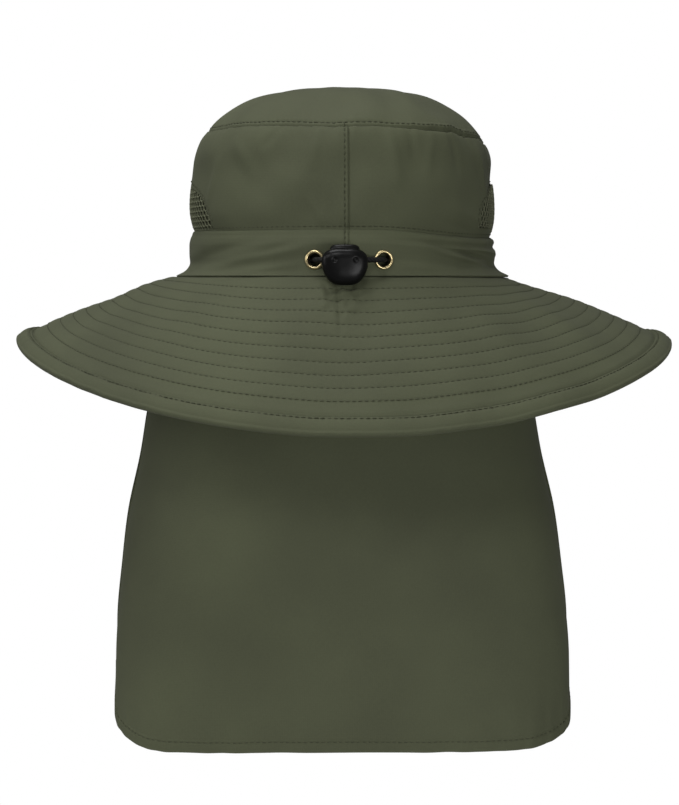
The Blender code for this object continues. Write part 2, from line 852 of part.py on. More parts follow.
def make_cord(material):
    left = cord_end(-1)
    right = cord_end(1)
    start = eyelet_angle(-1) - CORD_TUNNEL_START
    end = eyelet_angle(1) + CORD_TUNNEL_START
    turn = 2 * math.pi - (end - start)
    tunnel = []
    for i in range(CORD_TUNNEL_STEPS + 1):
        angle = start - turn * i / CORD_TUNNEL_STEPS
        tunnel.append(oval(cord_half_width(), angle, CORD_HEIGHT))
    fine_left = smooth_route(left + tunnel[:2], CORD_END_POINTS)
    fine_right = smooth_route(tunnel[-2:] + list(reversed(right)), CORD_END_POINTS)
    route = fine_left + tunnel[2:-2] + fine_right
    curve = bpy.data.curves.new("draw_cord", "CURVE")
    curve.dimensions = "3D"
    curve.bevel_depth = CORD_DIAMETER / 2
    curve.bevel_resolution = 2
    curve.use_fill_caps = True
    spline = curve.splines.new("POLY")
    spline.points.add(len(route) - 1)
    for point, place in zip(spline.points, route):
        point.co = (*place, 1.0)
    cord = bpy.data.objects.new("draw_cord", curve)
    bpy.context.scene.collection.objects.link(cord)
    curve.materials.append(material)
    return cord


def main():
    clear_scene()
    shell = make_material("olive_polyester")
    plastic = make_material("black_plastic")
    make_crown_top(shell)
    make_crown_side(shell)
    make_mesh_panels(make_material("vent_mesh"))
    make_band(shell)
    make_brim(shell)
    make_brim_binding(shell)
    make_neck_flap(shell)
    make_eyelets(make_material("brass"))
    make_lock_body(plastic)
    make_lock_button(plastic)
    make_cord(make_material("black_cord"))


main()
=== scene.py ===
# Flap sun hat: the cloth, stitches, mesh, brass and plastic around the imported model.
# The back of the hat, with flap and cord lock, faces -Y. Angles run round it from the
# back: 0 is the back and 90 degrees is +X. Everything is in metres.

import math

import bmesh
import bpy
import numpy as np
from mathutils import Matrix, Vector


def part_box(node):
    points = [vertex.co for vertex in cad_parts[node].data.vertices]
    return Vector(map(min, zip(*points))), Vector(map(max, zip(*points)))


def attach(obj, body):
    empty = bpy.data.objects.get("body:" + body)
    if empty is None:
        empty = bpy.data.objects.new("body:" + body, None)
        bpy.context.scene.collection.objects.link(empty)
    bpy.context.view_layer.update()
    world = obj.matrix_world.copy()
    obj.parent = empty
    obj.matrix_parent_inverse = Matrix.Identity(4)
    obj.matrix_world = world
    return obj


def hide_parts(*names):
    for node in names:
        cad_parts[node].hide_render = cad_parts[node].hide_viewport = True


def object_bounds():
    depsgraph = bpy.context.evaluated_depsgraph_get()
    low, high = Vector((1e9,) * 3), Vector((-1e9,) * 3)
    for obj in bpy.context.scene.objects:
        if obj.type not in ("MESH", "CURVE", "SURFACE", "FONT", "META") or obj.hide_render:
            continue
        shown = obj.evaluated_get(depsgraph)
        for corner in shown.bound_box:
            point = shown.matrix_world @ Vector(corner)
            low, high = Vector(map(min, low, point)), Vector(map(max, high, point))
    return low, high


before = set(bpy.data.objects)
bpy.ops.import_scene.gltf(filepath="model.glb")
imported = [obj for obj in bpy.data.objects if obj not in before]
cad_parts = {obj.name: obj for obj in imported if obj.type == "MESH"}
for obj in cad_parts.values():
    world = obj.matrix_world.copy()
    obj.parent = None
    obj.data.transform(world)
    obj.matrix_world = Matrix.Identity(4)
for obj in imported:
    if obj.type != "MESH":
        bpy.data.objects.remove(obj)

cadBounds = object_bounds()
mm = 0.001

print("flap sun hat: frame loaded")

# The camera, at the photograph's angle

cameraSettings = {
    "place": (-0.03004, -1.01706, -0.0015),
    "aim": (-0.0006, 0.0, -0.0735),
    "lens": 77.28,  # mm
    "sensor": 36.0,  # mm
}


def makeCamera():
    data = bpy.data.cameras.new("camera")
    data.lens = cameraSettings["lens"]
    data.sensor_width = cameraSettings["sensor"]
    camera = bpy.data.objects.new("camera", data)
    bpy.context.scene.collection.objects.link(camera)
    place = Vector(cameraSettings["place"])
    aim = Vector(cameraSettings["aim"]) - place
    camera.location = place
    camera.rotation_euler = aim.to_track_quat("-Z", "Y").to_euler()
    bpy.context.scene.camera = camera


makeCamera()


# Node trees

def addNode(tree, kind, values=None, links=None):
    # values go to the node's sockets by name or number, or else to its own settings
    node = tree.nodes.new(kind)
    for key, value in (values or {}).items():
        if isinstance(key, int) or key in node.inputs:
            node.inputs[key].default_value = value
        else:
            setattr(node, key, value)
    for key, source in (links or {}).items():
        tree.links.new(source, node.inputs[key])
    return node


def maths(tree, operation, *sources, **settings):
    # a maths node's result: each source is a number or another node's socket
    node = addNode(tree, "ShaderNodeMath", {"operation": operation, **settings})
    for i, source in enumerate(sources):
        if isinstance(source, (int, float)):
            node.inputs[i].default_value = source
        else:
            tree.links.new(source, node.inputs[i])
    return node.outputs[0]


def linear(hexColour):
    # an sRGB hex colour as a linear RGBA value
    rgba = []
    for i in (1, 3, 5):
        c = int(hexColour[i:i + 2], 16) / 255
        rgba.append(c / 12.92 if c <= 0.04045 else ((c + 0.055) / 1.055) ** 2.4)
    return (*rgba, 1.0)


def newMaterial(name):
    made = bpy.data.materials.new(name)
    made.use_nodes = True
    return made, made.node_tree, made.node_tree.nodes["Principled BSDF"]


def speckle(tree, scale, detail=2.0, roughness=0.5):
    # noise in the object's own coordinates
    place = addNode(tree, "ShaderNodeTexCoord").outputs["Object"]
    values = {"Scale": scale, "Detail": detail, "Roughness": roughness}
    return addNode(tree, "ShaderNodeTexNoise", values, {"Vector": place}).outputs["Fac"]


def bands(tree, direction, length):
    # soft stripes over the cloth's own UV; the node repeats them every 0.314 / scale
    uv = addNode(tree, "ShaderNodeUVMap", {"uv_map": "cloth"}).outputs[0]
    values = {"bands_direction": direction, "Scale": 0.314 / length}
    return addNode(tree, "ShaderNodeTexWave", values, {"Vector": uv}).outputs["Fac"]


def mapped(tree, source, **limits):
    # named limits such as toMin are the node's sockets
    names = {"fromMin": "From Min", "fromMax": "From Max", "toMin": "To Min", "toMax": "To Max"}
    values = {names[key]: value for key, value in limits.items()}
    return addNode(tree, "ShaderNodeMapRange", values, {"Value": source}).outputs[0]


def paint(tree, shader, factor, dark, light):
    values = {"data_type": "RGBA", 6: linear(dark), 7: linear(light)}
    colour = addNode(tree, "ShaderNodeMix", values, {0: factor})
    tree.links.new(colour.outputs[2], shader.inputs["Base Color"])


def emboss(tree, shader, height, strength, distance, under=None):
    # a bump on the shader, over another bump if one is given
    values = {"Strength": strength, "Distance": distance}
    links = {"Height": height} if under is None else {"Height": height, "Normal": under}
    bump = addNode(tree, "ShaderNodeBump", values, links)
    tree.links.new(bump.outputs[0], shader.inputs["Normal"])
    return bump.outputs[0]


def setSurface(shader, roughness, specular):
    shader.inputs["Roughness"].default_value = roughness
    shader.inputs["Specular IOR Level"].default_value = specular


# Materials

shellCloth = {
    "dark": "#474a39",
    "light": "#545843",
    "thread": 0.9 * mm,  # real threads are 0.2 mm apart, drawn coarser so that they show
    "weaveHeight": 0.05 * mm,
    "crumple": 11 * mm,  # size of the soft creases in the cloth
    "crumpleHeight": 0.25 * mm,
    "roughness": 0.78,
    "specular": 0.15,
    "sheen": 0.02,
}


def wovenPolyester(name, settings):
    # brushed polyester microfibre, plain woven: matt, a little soft sheen at grazing angles
    made, tree, shader = newMaterial(name)
    cloudy = maths(tree, "MULTIPLY_ADD", speckle(tree, 900.0), 0.35, speckle(tree, 14.0, 4.0))
    shade = mapped(tree, cloudy, fromMin=0.35, fromMax=1.0)
    paint(tree, shader, shade, settings["dark"], settings["light"])
    waves = [bands(tree, direction, settings["thread"]) for direction in ("X", "Y")]
    weave = emboss(tree, shader, maths(tree, "MULTIPLY", *waves), 0.5, settings["weaveHeight"])
    crumple = speckle(tree, 0.5 / settings["crumple"], 3.0, 0.45)
    emboss(tree, shader, crumple, 0.6, settings["crumpleHeight"], weave)
    setSurface(shader, settings["roughness"], settings["specular"])
    shader.inputs["Sheen Weight"].default_value = settings["sheen"]
    return made


def shadedThread(name):
    # polyester sewing thread, twisted, a touch shinier than the cloth; its colour is painted darker
    # than the cloth, a painted shade for the pits that the stitches pull into it
    made, tree, shader = newMaterial(name)
    paint(tree, shader, speckle(tree, 700.0), "#2f3223", "#42452f")
    setSurface(shader, 0.6, 0.3)
    return made


def knitMesh(name, darkHex, lightHex):
    # warp-knitted polyester: thin yarns with a soft, slightly fuzzy surface; one noise gives both
    # colour and bump, so the raised fuzz is painted lighter and its hollows darker, painted shade
    made, tree, shader = newMaterial(name)
    noise = speckle(tree, 1500.0, 3.0)
    paint(tree, shader, noise, darkHex, lightHex)
    emboss(tree, shader, noise, 0.6, 0.1 * mm)
    setSurface(shader, 0.7, 0.25)
    return made


def stampedBrass(name):
    # stamped, rolled and lacquered brass: warm, polished, with handling marks
    made, tree, shader = newMaterial(name)
    marks = speckle(tree, 450.0, 5.0)
    paint(tree, shader, marks, "#b09c68", "#e2d4ac")
    tree.links.new(mapped(tree, marks, toMin=0.2, toMax=0.42), shader.inputs["Roughness"])
    shader.inputs["Metallic"].default_value = 1.0
    return made


def mouldedNylon(name, lightHex, roughness):
    # injection-moulded black nylon: nearly black, a fine spark-eroded grain, soft highlights
    made, tree, shader = newMaterial(name)
    scuffs = speckle(tree, 260.0, 5.0)
    paint(tree, shader, scuffs, "#0b0b0b", lightHex)
    rough = mapped(tree, scuffs, toMin=roughness - 0.08, toMax=roughness + 0.1)
    emboss(tree, shader, speckle(tree, 2600.0), 0.35, 0.03 * mm)
    setSurface(shader, roughness, 0.14)
    tree.links.new(rough, shader.inputs["Roughness"])
    return made


def braidedCord(name):
    # braided polyester over a rubber core: black, dull, with a fine plaited surface; the strand
    # wave gives both colour and bump, so the crests are painted lighter and the grooves darker,
    # painted shade
    made, tree, shader = newMaterial(name)
    strand = bands(tree, "DIAGONAL", 1.1 * mm)
    paint(tree, shader, strand, "#0a0a0a", "#1d1d1c")
    emboss(tree, shader, strand, 0.6, 0.12 * mm)
    setSurface(shader, 0.62, 0.2)
    return made


olive = wovenPolyester("woven_polyester", shellCloth)
thread = shadedThread("thread_painted_shade")
# the net's yarn is painted lighter than the cloth, a painted highlight for the light on its ridges
litMeshYarn = knitMesh("knit_mesh_painted_highlight", "#545744", "#686b55")
knitBacking = knitMesh("knit_backing", "#494c3a", "#585b47")
brass = stampedBrass("stamped_brass")
nylon = mouldedNylon("moulded_nylon", "#0e0e0e", 0.3)
# the button's copy of the nylon is painted a shade lighter than the body's, a painted highlight for
# the light from above on the lock's top
litButtonNylon = mouldedNylon("moulded_nylon_button_painted_highlight", "#131312", 0.3)
cordBraid = braidedCord("braided_cord")

print("materials made")


# Shapes that the cloth pieces share

hat = {
    "ovalLonger": 17 * mm,  # the head oval's half depth less its half width
    "cloth": 1.0 * mm,
    "columns": 320,  # round the crown and band
    "sharpEdge": math.radians(50),
}


def smooth(x, xs, ys):
    # a soft curve through a table, with xs rising
    xs = np.asarray(xs, float)
    ys = np.asarray(ys, float)
    slopes = np.gradient(ys, xs)
    steps = np.diff(ys) / np.diff(xs)
    flat = np.concatenate(([False], steps[:-1] * steps[1:] <= 0, [False]))
    slopes[flat] = 0
    x = np.clip(x, xs[0], xs[-1])
    k = np.clip(np.searchsorted(xs, x, side="right") - 1, 0, len(xs) - 2)
    h = xs[k + 1] - xs[k]
    t = (x - xs[k]) / h
    return (
        ys[k] * (2 * t**3 - 3 * t**2 + 1)
        + slopes[k] * h * (t**3 - 2 * t**2 + t)
        + ys[k + 1] * (3 * t**2 - 2 * t**3)
        + slopes[k + 1] * h * (t**3 - t**2)
    )


def lookUp(table, x):
    # the columns of a table at x, on soft curves through its rows
    table = np.array(table)
    return [smooth(x, table[:, 0], column) for column in table[:, 1:].T]


def hump(distance, span):
    # 1 in the middle, softly down to 0 at the span
    share = np.clip(np.abs(distance) / span, 0, 1)
    return 0.5 + 0.5 * np.cos(math.pi * share)


def bell(distance, width):
    # 1 in the middle, falling off on both sides, 0.37 at the width
    return np.exp(-((distance / width) ** 2))


def ripple(angle, degrees, v, seed, waves=9):
    # a smooth wandering field between about -1 and 1 that closes round the hat: its waves are
    # so many degrees long, and one long in v
    rng = np.random.default_rng(seed)
    radius = math.degrees(1) / degrees
    x, y = radius * np.cos(angle), radius * np.sin(angle)
    total = np.zeros(np.broadcast(angle, v).shape)
    for _ in range(waves):
        turn, phase = rng.uniform(0, 2 * math.pi, 2)
        slope = rng.uniform(-1, 1)
        pace = 2 * math.pi * rng.uniform(0.6, 1.6)
        level = (1 - slope**2) ** 0.5
        along = x * level * math.cos(turn) + y * level * math.sin(turn) + v * slope
        total += np.sin(pace * along + phase)
    return total / waves**0.5 / 1.2


def oval(halfWidth, angle, height, longer=None):
    longer = hat["ovalLonger"] if longer is None else longer
    x = halfWidth * np.sin(angle)
    y = -(halfWidth + longer) * np.cos(angle)
    return np.stack(np.broadcast_arrays(x, y, height), -1)


def turned(angle, middle):
    # degrees round from a middle, between -180 and 180
    return (np.degrees(angle) - middle + 180) % 360 - 180


def creases(table, angle, height, radius):
    # folds between two points each: ridge if the depth is positive, furrow if negative
    total = np.zeros(np.broadcast(angle, height).shape)
    for fromAngle, fromMm, toAngle, toMm, widthMm, depthMm in table:
        fromHeight, toHeight, width, depth = fromMm * mm, toMm * mm, widthMm * mm, depthMm * mm
        along = np.array([math.radians(toAngle - fromAngle) * radius, toHeight - fromHeight])
        length = float(np.hypot(*along))
        u = np.radians(turned(angle, fromAngle)) * radius
        v = height - fromHeight
        reach = (u * along[0] + v * along[1]) / length
        aside = (v * along[0] - u * along[1]) / length
        share = np.clip(reach / length, 0, 1)
        ends = np.where((reach < 0) | (reach > length), 0, np.sin(math.pi * share) ** 0.7)
        total += depth * ends * bell(aside, width)
    return total


def unit(vectors):
    return vectors / np.maximum(np.linalg.norm(vectors, axis=-1, keepdims=True), 1e-12)


def raised(base, relief, angle, along, least):
    # a point of a base surface, moved out along its normal by its relief
    angle, along = np.broadcast_arrays(angle, along)
    turnStep, step = 0.01, 0.5 * mm
    side = base(angle + turnStep, along) - base(angle - turnStep, along)
    down = base(angle, along + step) - base(angle, np.maximum(along - step, least))
    return base(angle, along) + unit(np.cross(down, side)) * relief(angle, along)[..., None]


def normalsOf(grid, closed):
    if closed:
        du = np.roll(grid, -1, 1) - np.roll(grid, 1, 1)
    else:
        du = np.gradient(grid, axis=1)
    return unit(np.cross(du, np.gradient(grid, axis=0)))


def lengths(points):
    # how far along a line each of its points lies
    steps = np.linalg.norm(np.diff(points, axis=0), axis=-1)
    return np.concatenate(([0], np.cumsum(steps)))


def linkObject(name, mesh):
    made = bpy.data.objects.new(name, mesh)
    bpy.context.scene.collection.objects.link(made)
    return made


def plainObject(name, bm):
    mesh = bpy.data.meshes.new(name)
    bm.to_mesh(mesh)
    bm.free()
    return linkObject(name, mesh)


def surfaced(made, material=None, sharpEdge=hat["sharpEdge"]):
    # smooth shading with sharp edges, and the one material if it is given
    made.data.shade_smooth()
    made.data.set_sharp_from_angle(angle=sharpEdge)
    if material:
        made.data.materials.clear()
        made.data.materials.append(material)
    return made


def linkMesh(name, points, faces, material, uvs=None):
    mesh = bpy.data.meshes.new(name)
    mesh.from_pydata([tuple(p) for p in points], [], faces)
    mesh.validate()
    if uvs is not None:
        layer = mesh.uv_layers.new(name="cloth")
        corners = np.zeros(len(mesh.loops), np.int32)
        mesh.loops.foreach_get("vertex_index", corners)
        layer.data.foreach_set("uv", np.asarray(uvs, np.float32)[corners].ravel())
    return surfaced(linkObject(name, mesh), material)


def tubeFaces(rows, columns, closed):
    # faces of a grid whose columns close round, and its rows too if closed
    faces = []
    for r in range(rows if closed else rows - 1):
        here, there = r * columns, (r + 1) % rows * columns
        for c in range(columns):
            j = (c + 1) % columns
            faces.append((here + c, there + c, there + j, here + j))
    return faces


def lofted(rings):
    # a solid with flat ends through rings of points
    bm = bmesh.new()
    rings = [[bm.verts.new(point) for point in ring] for ring in rings]
    for here, there in zip(rings, rings[1:]):
        for i in range(len(here)):
            j = (i + 1) % len(here)
            bm.faces.new((here[i], here[j], there[j], there[i]))
    bm.faces.new(rings[0])
    bm.faces.new(list(reversed(rings[-1])))
    bmesh.ops.recalc_face_normals(bm, faces=bm.faces)
    return bm


def wall(name, grid, thickness, closed, material, flip=False, pole=False, outward=None):
    # a closed wall of cloth: the grid is its outer face, rows by columns
    rows, columns = grid.shape[:2]
    n = normalsOf(grid, closed) * (-1 if flip else 1) if outward is None else outward
    if pole:
        n[-1] = n[-2].mean(0) / np.linalg.norm(n[-2].mean(0))
    inner = grid - n * np.broadcast_to(np.asarray(thickness), (rows, columns))[..., None]
    faces = []

    def add(*corners):
        # each corner is a row, a column and 0 outside or 1 inside
        face = [(layer * rows + r) * columns + c % columns for r, c, layer in corners]
        faces.append(tuple(reversed(face)) if flip else tuple(face))

    last = columns if closed else columns - 1
    end = rows - 1
    for r in range(end - 1 if pole else end):
        for c in range(last):
            add((r, c, 0), (r, c + 1, 0), (r + 1, c + 1, 0), (r + 1, c, 0))
            add((r, c, 1), (r + 1, c, 1), (r + 1, c + 1, 1), (r, c + 1, 1))
    for c in range(last):
        add((0, c + 1, 0), (0, c, 0), (0, c, 1), (0, c + 1, 1))
        if pole:
            add((end - 1, c, 0), (end - 1, c + 1, 0), (end, 0, 0))
            add((end - 1, c + 1, 1), (end - 1, c, 1), (end, 0, 1))
        else:
            add((end, c, 0), (end, c + 1, 0), (end, c + 1, 1), (end, c, 1))
    if not closed:
        for r in range(end):
            add((r, 0, 0), (r + 1, 0, 0), (r + 1, 0, 1), (r, 0, 1))
            add((r + 1, last, 0), (r, last, 0), (r, last, 1), (r + 1, last, 1))
    u = lengths(grid[rows // 2])
    v = np.concatenate(([0], np.cumsum(np.linalg.norm(np.diff(grid, axis=0), axis=2).mean(1))))
    uv = np.stack(np.meshgrid(u, v), -1).reshape(-1, 2)
    points = np.concatenate((grid.reshape(-1, 3), inner.reshape(-1, 3)))
    made = linkMesh(name, points, faces, material, np.concatenate((uv, uv)))
    if pole:
        bm = bmesh.new()
        bm.from_mesh(made.data)
        bmesh.ops.delete(bm, geom=[p for p in bm.verts if not p.link_faces], context="VERTS")
        bm.to_mesh(made.data)
        bm.free()
    return made


def finish(piece, body, slotName, *nodes):
    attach(piece, body)
    if nodes:
        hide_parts(*nodes)
    return piece


def baked(made, name):
    # the evaluated object as a plain mesh, in place of the object and its modifiers
    graph = bpy.context.evaluated_depsgraph_get()
    graph.update()
    mesh = bpy.data.meshes.new_from_object(made.evaluated_get(graph))
    made.modifiers.clear()
    plain = linkObject(name, mesh)
    bpy.data.objects.remove(made, do_unlink=True)
    plain.name = name
    return plain


def cutAway(made, cutters, name):
    for cutter in cutters:
        boolean = made.modifiers.new(cutter.name, "BOOLEAN")
        boolean.operation = "DIFFERENCE"
        boolean.solver = "EXACT"
        boolean.object = cutter
    made = baked(made, name)
    for cutter in cutters:
        bpy.data.objects.remove(cutter, do_unlink=True)
    return made


def cone(radii, sides, depth, place):
    bm = bmesh.new()
    near, far = radii
    bmesh.ops.create_cone(
        bm, cap_ends=True, segments=sides, radius1=near, radius2=far, depth=depth
    )
    bm.transform(place)
    return bm


def middleAndHalf(node):
    # the middle and the half size of a CAD node's box
    low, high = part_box(node)
    return (low + high) / 2, (high - low) / 2


def newTree(name, inputs):
    # a tree that takes geometry, named numbers and a material
    tree = bpy.data.node_groups.new(name, "GeometryNodeTree")
    for way in ("INPUT", "OUTPUT"):
        tree.interface.new_socket(name="Geometry", in_out=way, socket_type="NodeSocketGeometry")
    for title, value in inputs.items():
        kind = "NodeSocketInt" if isinstance(value, int) else "NodeSocketFloat"
        socket = tree.interface.new_socket(name=title, in_out="INPUT", socket_type=kind)
        socket.default_value = value
    tree.interface.new_socket(name="Material", in_out="INPUT", socket_type="NodeSocketMaterial")
    return tree, addNode(tree, "NodeGroupInput").outputs


def endTree(tree, given, geometry):
    real = addNode(tree, "GeometryNodeRealizeInstances", links={0: geometry}).outputs[0]
    links = {"Geometry": real, "Material": given["Material"]}
    painted = addNode(tree, "GeometryNodeSetMaterial", links=links)
    addNode(tree, "NodeGroupOutput", links={0: painted.outputs[0]})
    return tree


def tubeNodes(tree, curve, width, sides, **links):
    # a round tube along a curve, with its ends closed
    radius = maths(tree, "MULTIPLY", width, 0.5)
    section = addNode(
        tree, "GeometryNodeCurvePrimitiveCircle", {"Resolution": sides}, {"Radius": radius}
    )
    links = {"Curve": curve, "Profile Curve": section.outputs[0], **links}
    return addNode(tree, "GeometryNodeCurveToMesh", {"Fill Caps": True}, links).outputs[0]


def applyTree(made, tree, values, name):
    modifier = made.modifiers.new(tree.name, "NODES")
    modifier.node_group = tree
    for item in tree.interface.items_tree:
        if item.in_out == "INPUT" and item.name in values:
            modifier[item.identifier] = values[item.name]
    return baked(made, name)


# Stitches: one arched loop of thread, repeated along a seam's path

stitching = {
    "pitch": 3.2 * mm,
    "length": 2.5 * mm,
    "thickness": 0.62 * mm,  # drawn a little thicker than real thread so that it shows
    "sag": 0.35 * mm,  # how far a stitch's ends dip into the cloth
    "wobble": 0.05,
}


def stitchTree():
    inputs = {name.capitalize(): size for name, size in stitching.items()}
    tree, given = newTree("stitches", {**inputs, "Seed": 3})
    path = addNode(tree, "GeometryNodeMeshToCurve", links={"Mesh": given["Geometry"]})
    links = {"Curve": path.outputs[0], "Length": given["Pitch"]}
    spaced = addNode(tree, "GeometryNodeResampleCurve", {"mode": "LENGTH"}, links)
    # one stitch lies along X and arches up in Z
    ends = []
    for share in (-0.5, 0.5):
        reach = maths(tree, "MULTIPLY", given["Length"], share)
        ends.append(addNode(tree, "ShaderNodeCombineXYZ", links={"X": reach}).outputs[0])
    links = {"Start": ends[0], "End": ends[1]}
    line = addNode(tree, "GeometryNodeCurvePrimitiveLine", links=links)
    bent = addNode(tree, "GeometryNodeResampleCurve", {"Count": 5}, {"Curve": line.outputs[0]})
    along = addNode(tree, "GeometryNodeSplineParameter").outputs["Factor"]
    centred = maths(tree, "SUBTRACT", along, 0.5)
    squared = maths(tree, "MULTIPLY", centred, centred)
    down = maths(tree, "MULTIPLY", maths(tree, "MULTIPLY", squared, given["Sag"]), -4.0)
    offset = addNode(tree, "ShaderNodeCombineXYZ", links={"Z": down})
    links = {"Geometry": bent.outputs[0], "Offset": offset.outputs[0]}
    arched = addNode(tree, "GeometryNodeSetPosition", links=links)
    narrowing = maths(tree, "MULTIPLY_ADD", squared, -2.4, 1.0)
    loop = tubeNodes(tree, arched.outputs[0], given["Thickness"], 5, Scale=narrowing)
    values = {"data_type": "FLOAT_VECTOR", "Name": "clothUp"}
    up = addNode(tree, "GeometryNodeInputNamedAttribute", values)
    tangent = addNode(tree, "GeometryNodeInputTangent")
    values = {"primary_axis": "Z", "secondary_axis": "X"}
    links = {"Primary Axis": up.outputs[0], "Secondary Axis": tangent.outputs[0]}
    aligned = addNode(tree, "FunctionNodeAxesToRotation", values, links)
    least = maths(tree, "MULTIPLY", given["Wobble"], -1.0)
    links = {2: least, 3: given["Wobble"], "Seed": given["Seed"]}
    random = addNode(tree, "FunctionNodeRandomValue", {"data_type": "FLOAT"}, links)
    yaw = addNode(tree, "ShaderNodeCombineXYZ", links={"Z": random.outputs[1]})
    toTurn = addNode(tree, "FunctionNodeEulerToRotation", links={0: yaw.outputs[0]})
    links = {0: aligned.outputs[0], 1: toTurn.outputs[0]}
    turnedTo = addNode(tree, "FunctionNodeRotateRotation", {"rotation_space": "LOCAL"}, links)
    links = {"Points": spaced.outputs[0], "Instance": loop, "Rotation": turnedTo.outputs[0]}
    placed = addNode(tree, "GeometryNodeInstanceOnPoints", links=links)
    return endTree(tree, given, placed.outputs[0])


sewing = stitchTree()


def sew(name, paths, seed):
    # paths are (points, ups, closed); every one becomes a row of stitches in one piece
    mesh = bpy.data.meshes.new(name + "_path")
    points, ups, edges = [], [], []
    for path, up, closed in paths:
        first = len(points)
        points.extend(tuple(p) for p in path)
        ups.extend(up)
        count = len(path)
        edges.extend((first + i, first + i + 1) for i in range(count - 1))
        if closed:
            edges.append((first + count - 1, first))
    mesh.from_pydata(points, edges, [])
    attribute = mesh.attributes.new("clothUp", "FLOAT_VECTOR", "POINT")
    attribute.data.foreach_set("vector", np.asarray(ups, np.float32).ravel())
    made = linkObject(name + "_path", mesh)
    row = applyTree(made, sewing, {"Seed": seed, "Material": thread}, name)
    row.data.shade_smooth()
    return finish(row, "hat", "shell_fabric")


def seamPath(surface, angles, heights, lift, closed):
    # a path on a surface function of angle and height, lifted off it along its normal
    here = surface(angles, heights)
    around = surface(angles + 0.004, heights) - here
    upward = surface(angles, heights + 0.4 * mm) - here
    n = unit(np.cross(around, upward))
    # outwards, as seen from a point far under the crown
    n *= np.sign((n * (here + np.array([0, 0, 200 * mm]))).sum())
    return here + n * lift, n, closed


# The crown: a wall and a top panel on one continuous outline

crown = {
    "halfWidth": 87.3 * mm,
    "seamDip": 0.8 * mm,
    "seamWidth": 0.6 * mm,
    "stitchAbove": 2.4 * mm,  # the top seam's stitches over its fold
    "backSeam": 1.0,  # degrees from the back
    "backSeamDip": 0.8 * mm,
    "backSeamWidth": 0.45 * mm,
    "backStitch": 2.3 * mm,  # the back seam's stitches left of its fold
    "looseAt": 44,  # degrees from the back where the top seam is slack and puckered
    "looseSpan": 34,
    "tiltRight": 3.7 * mm,  # how much lower the band's upper edge hangs on the right
    "tiltBack": 2.1 * mm,
    "bandStitch": 28.9 * mm,  # height of the stitch line over the band
    "stitchLift": 0.25 * mm,
    "crumple": 0.75 * mm,
    "topMargin": 0.05 * mm,  # from the seam to each of the two pieces
    "lean": 1.6 * mm,  # how much fuller the right side is
    "sideFullness": 1.3 * mm,  # how far the wall bulges at the windows
    "seamRow": 6,  # the outline's row at the top seam
}

# The outline from the pole down.
crownOutline = [
    # height over the origin in mm, half width in mm
    (108.5, 0.0),
    (107.6, 18.6),
    (105.6, 37.2),
    (101.4, 54.3),
    (94.5, 65.9),
    (88.2, 73.6),
    (84.0, 77.5),
    (78.1, 82.1),
    (70.6, 85.0),
    (58.8, 86.3),
    (47.9, 87.3),
    (36.1, 86.4),
    (27.0, 84.35),
    (19.2, 83.05),
    (11.5, 82.5),
    (-2.0, 82.5),
]

# Soft hollows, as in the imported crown, and smaller dents in the back.
crownHollows = [
    # angle, its span, height, its span (mm), depth (mm)
    (-38, 26, 55.4, 21.8, 1.4),
    (33, 22, 65.5, 16.8, 1.8),
    (74, 24, 50.4, 18.5, 1.2),
    (150, 34, 55.4, 20.2, 1.4),
    (-128, 30, 60.5, 16.8, 1.2),
    (-12, 8, 42.0, 18.0, 1.2),
    (13, 8, 58.0, 22.0, 1.0),
    (52, 10, 46.0, 18.0, 1.4),
    (-26, 7, 66.0, 12.0, 0.9),
    (3, 13, 62.0, 34.0, 1.7),
    (3, 15, 93.0, 10.0, 1.5),
    (46, 16, 92.0, 9.0, 1.2),
]

crownFolds = [
    # from angle, height (mm), to angle, height (mm), width (mm), depth (mm)
    (-10, 82, -12, 56, 3.0, 1.2),
    (16, 81, 19, 48, 3.5, 1.1),
    (24, 80, 26, 62, 2.6, -1.0),
    (34, 79, 30, 52, 3.4, 1.0),
    (43, 78, 46, 56, 2.6, -1.0),
    (58, 74, 66, 44, 2.8, 1.3),
    (66, 80, 72, 58, 2.2, -1.2),
    (-14, 46, -8, 29, 1.8, 1.0),
    (-6.5, 46, -3.5, 30, 1.6, -0.8),
    (-33, 52, -46, 76, 4.5, 1.2),
    (-24, 82, -32, 68, 2.4, -0.8),
    (-52, 66, -60, 40, 3.0, 0.9),
    (40, 41, 72, 33, 2.6, 0.9),
    (36, 34, 60, 29, 1.8, -0.8),
    (120, 78, 132, 44, 3.5, 1.1),
    (160, 80, 168, 50, 3.5, -0.9),
    (200, 78, 194, 46, 3.5, 1.0),
    (236, 76, 228, 42, 3.0, -1.0),
]


outlinePoints = np.array(crownOutline) * mm
outlineAlong = lengths(outlinePoints)
seamAlong = outlineAlong[crown["seamRow"]]
seamHalfWidth = outlinePoints[crown["seamRow"], 1]
crownLength = outlineAlong[-1]


def rise(x, start, end):
    # softly from 0 at the start to 1 at the end
    share = np.clip((x - start) / (end - start), 0, 1)
    return share * share * (3 - 2 * share)


def tilt(angle, height):
    # the band's upper edge hangs low at the back and lower still on the right
    right = rise(np.sin(angle), 0.18, 0.95) * crown["tiltRight"]
    back = rise(np.cos(angle), -0.2, 0.9) * crown["tiltBack"]
    below = rise(height, 3 * mm, 25 * mm)
    above = 1 - rise(height, 30 * mm, 62 * mm)
    return (right + back) * below * above


def lean(angle):
    return crown["lean"] * np.maximum(np.sin(angle), 0) ** 2


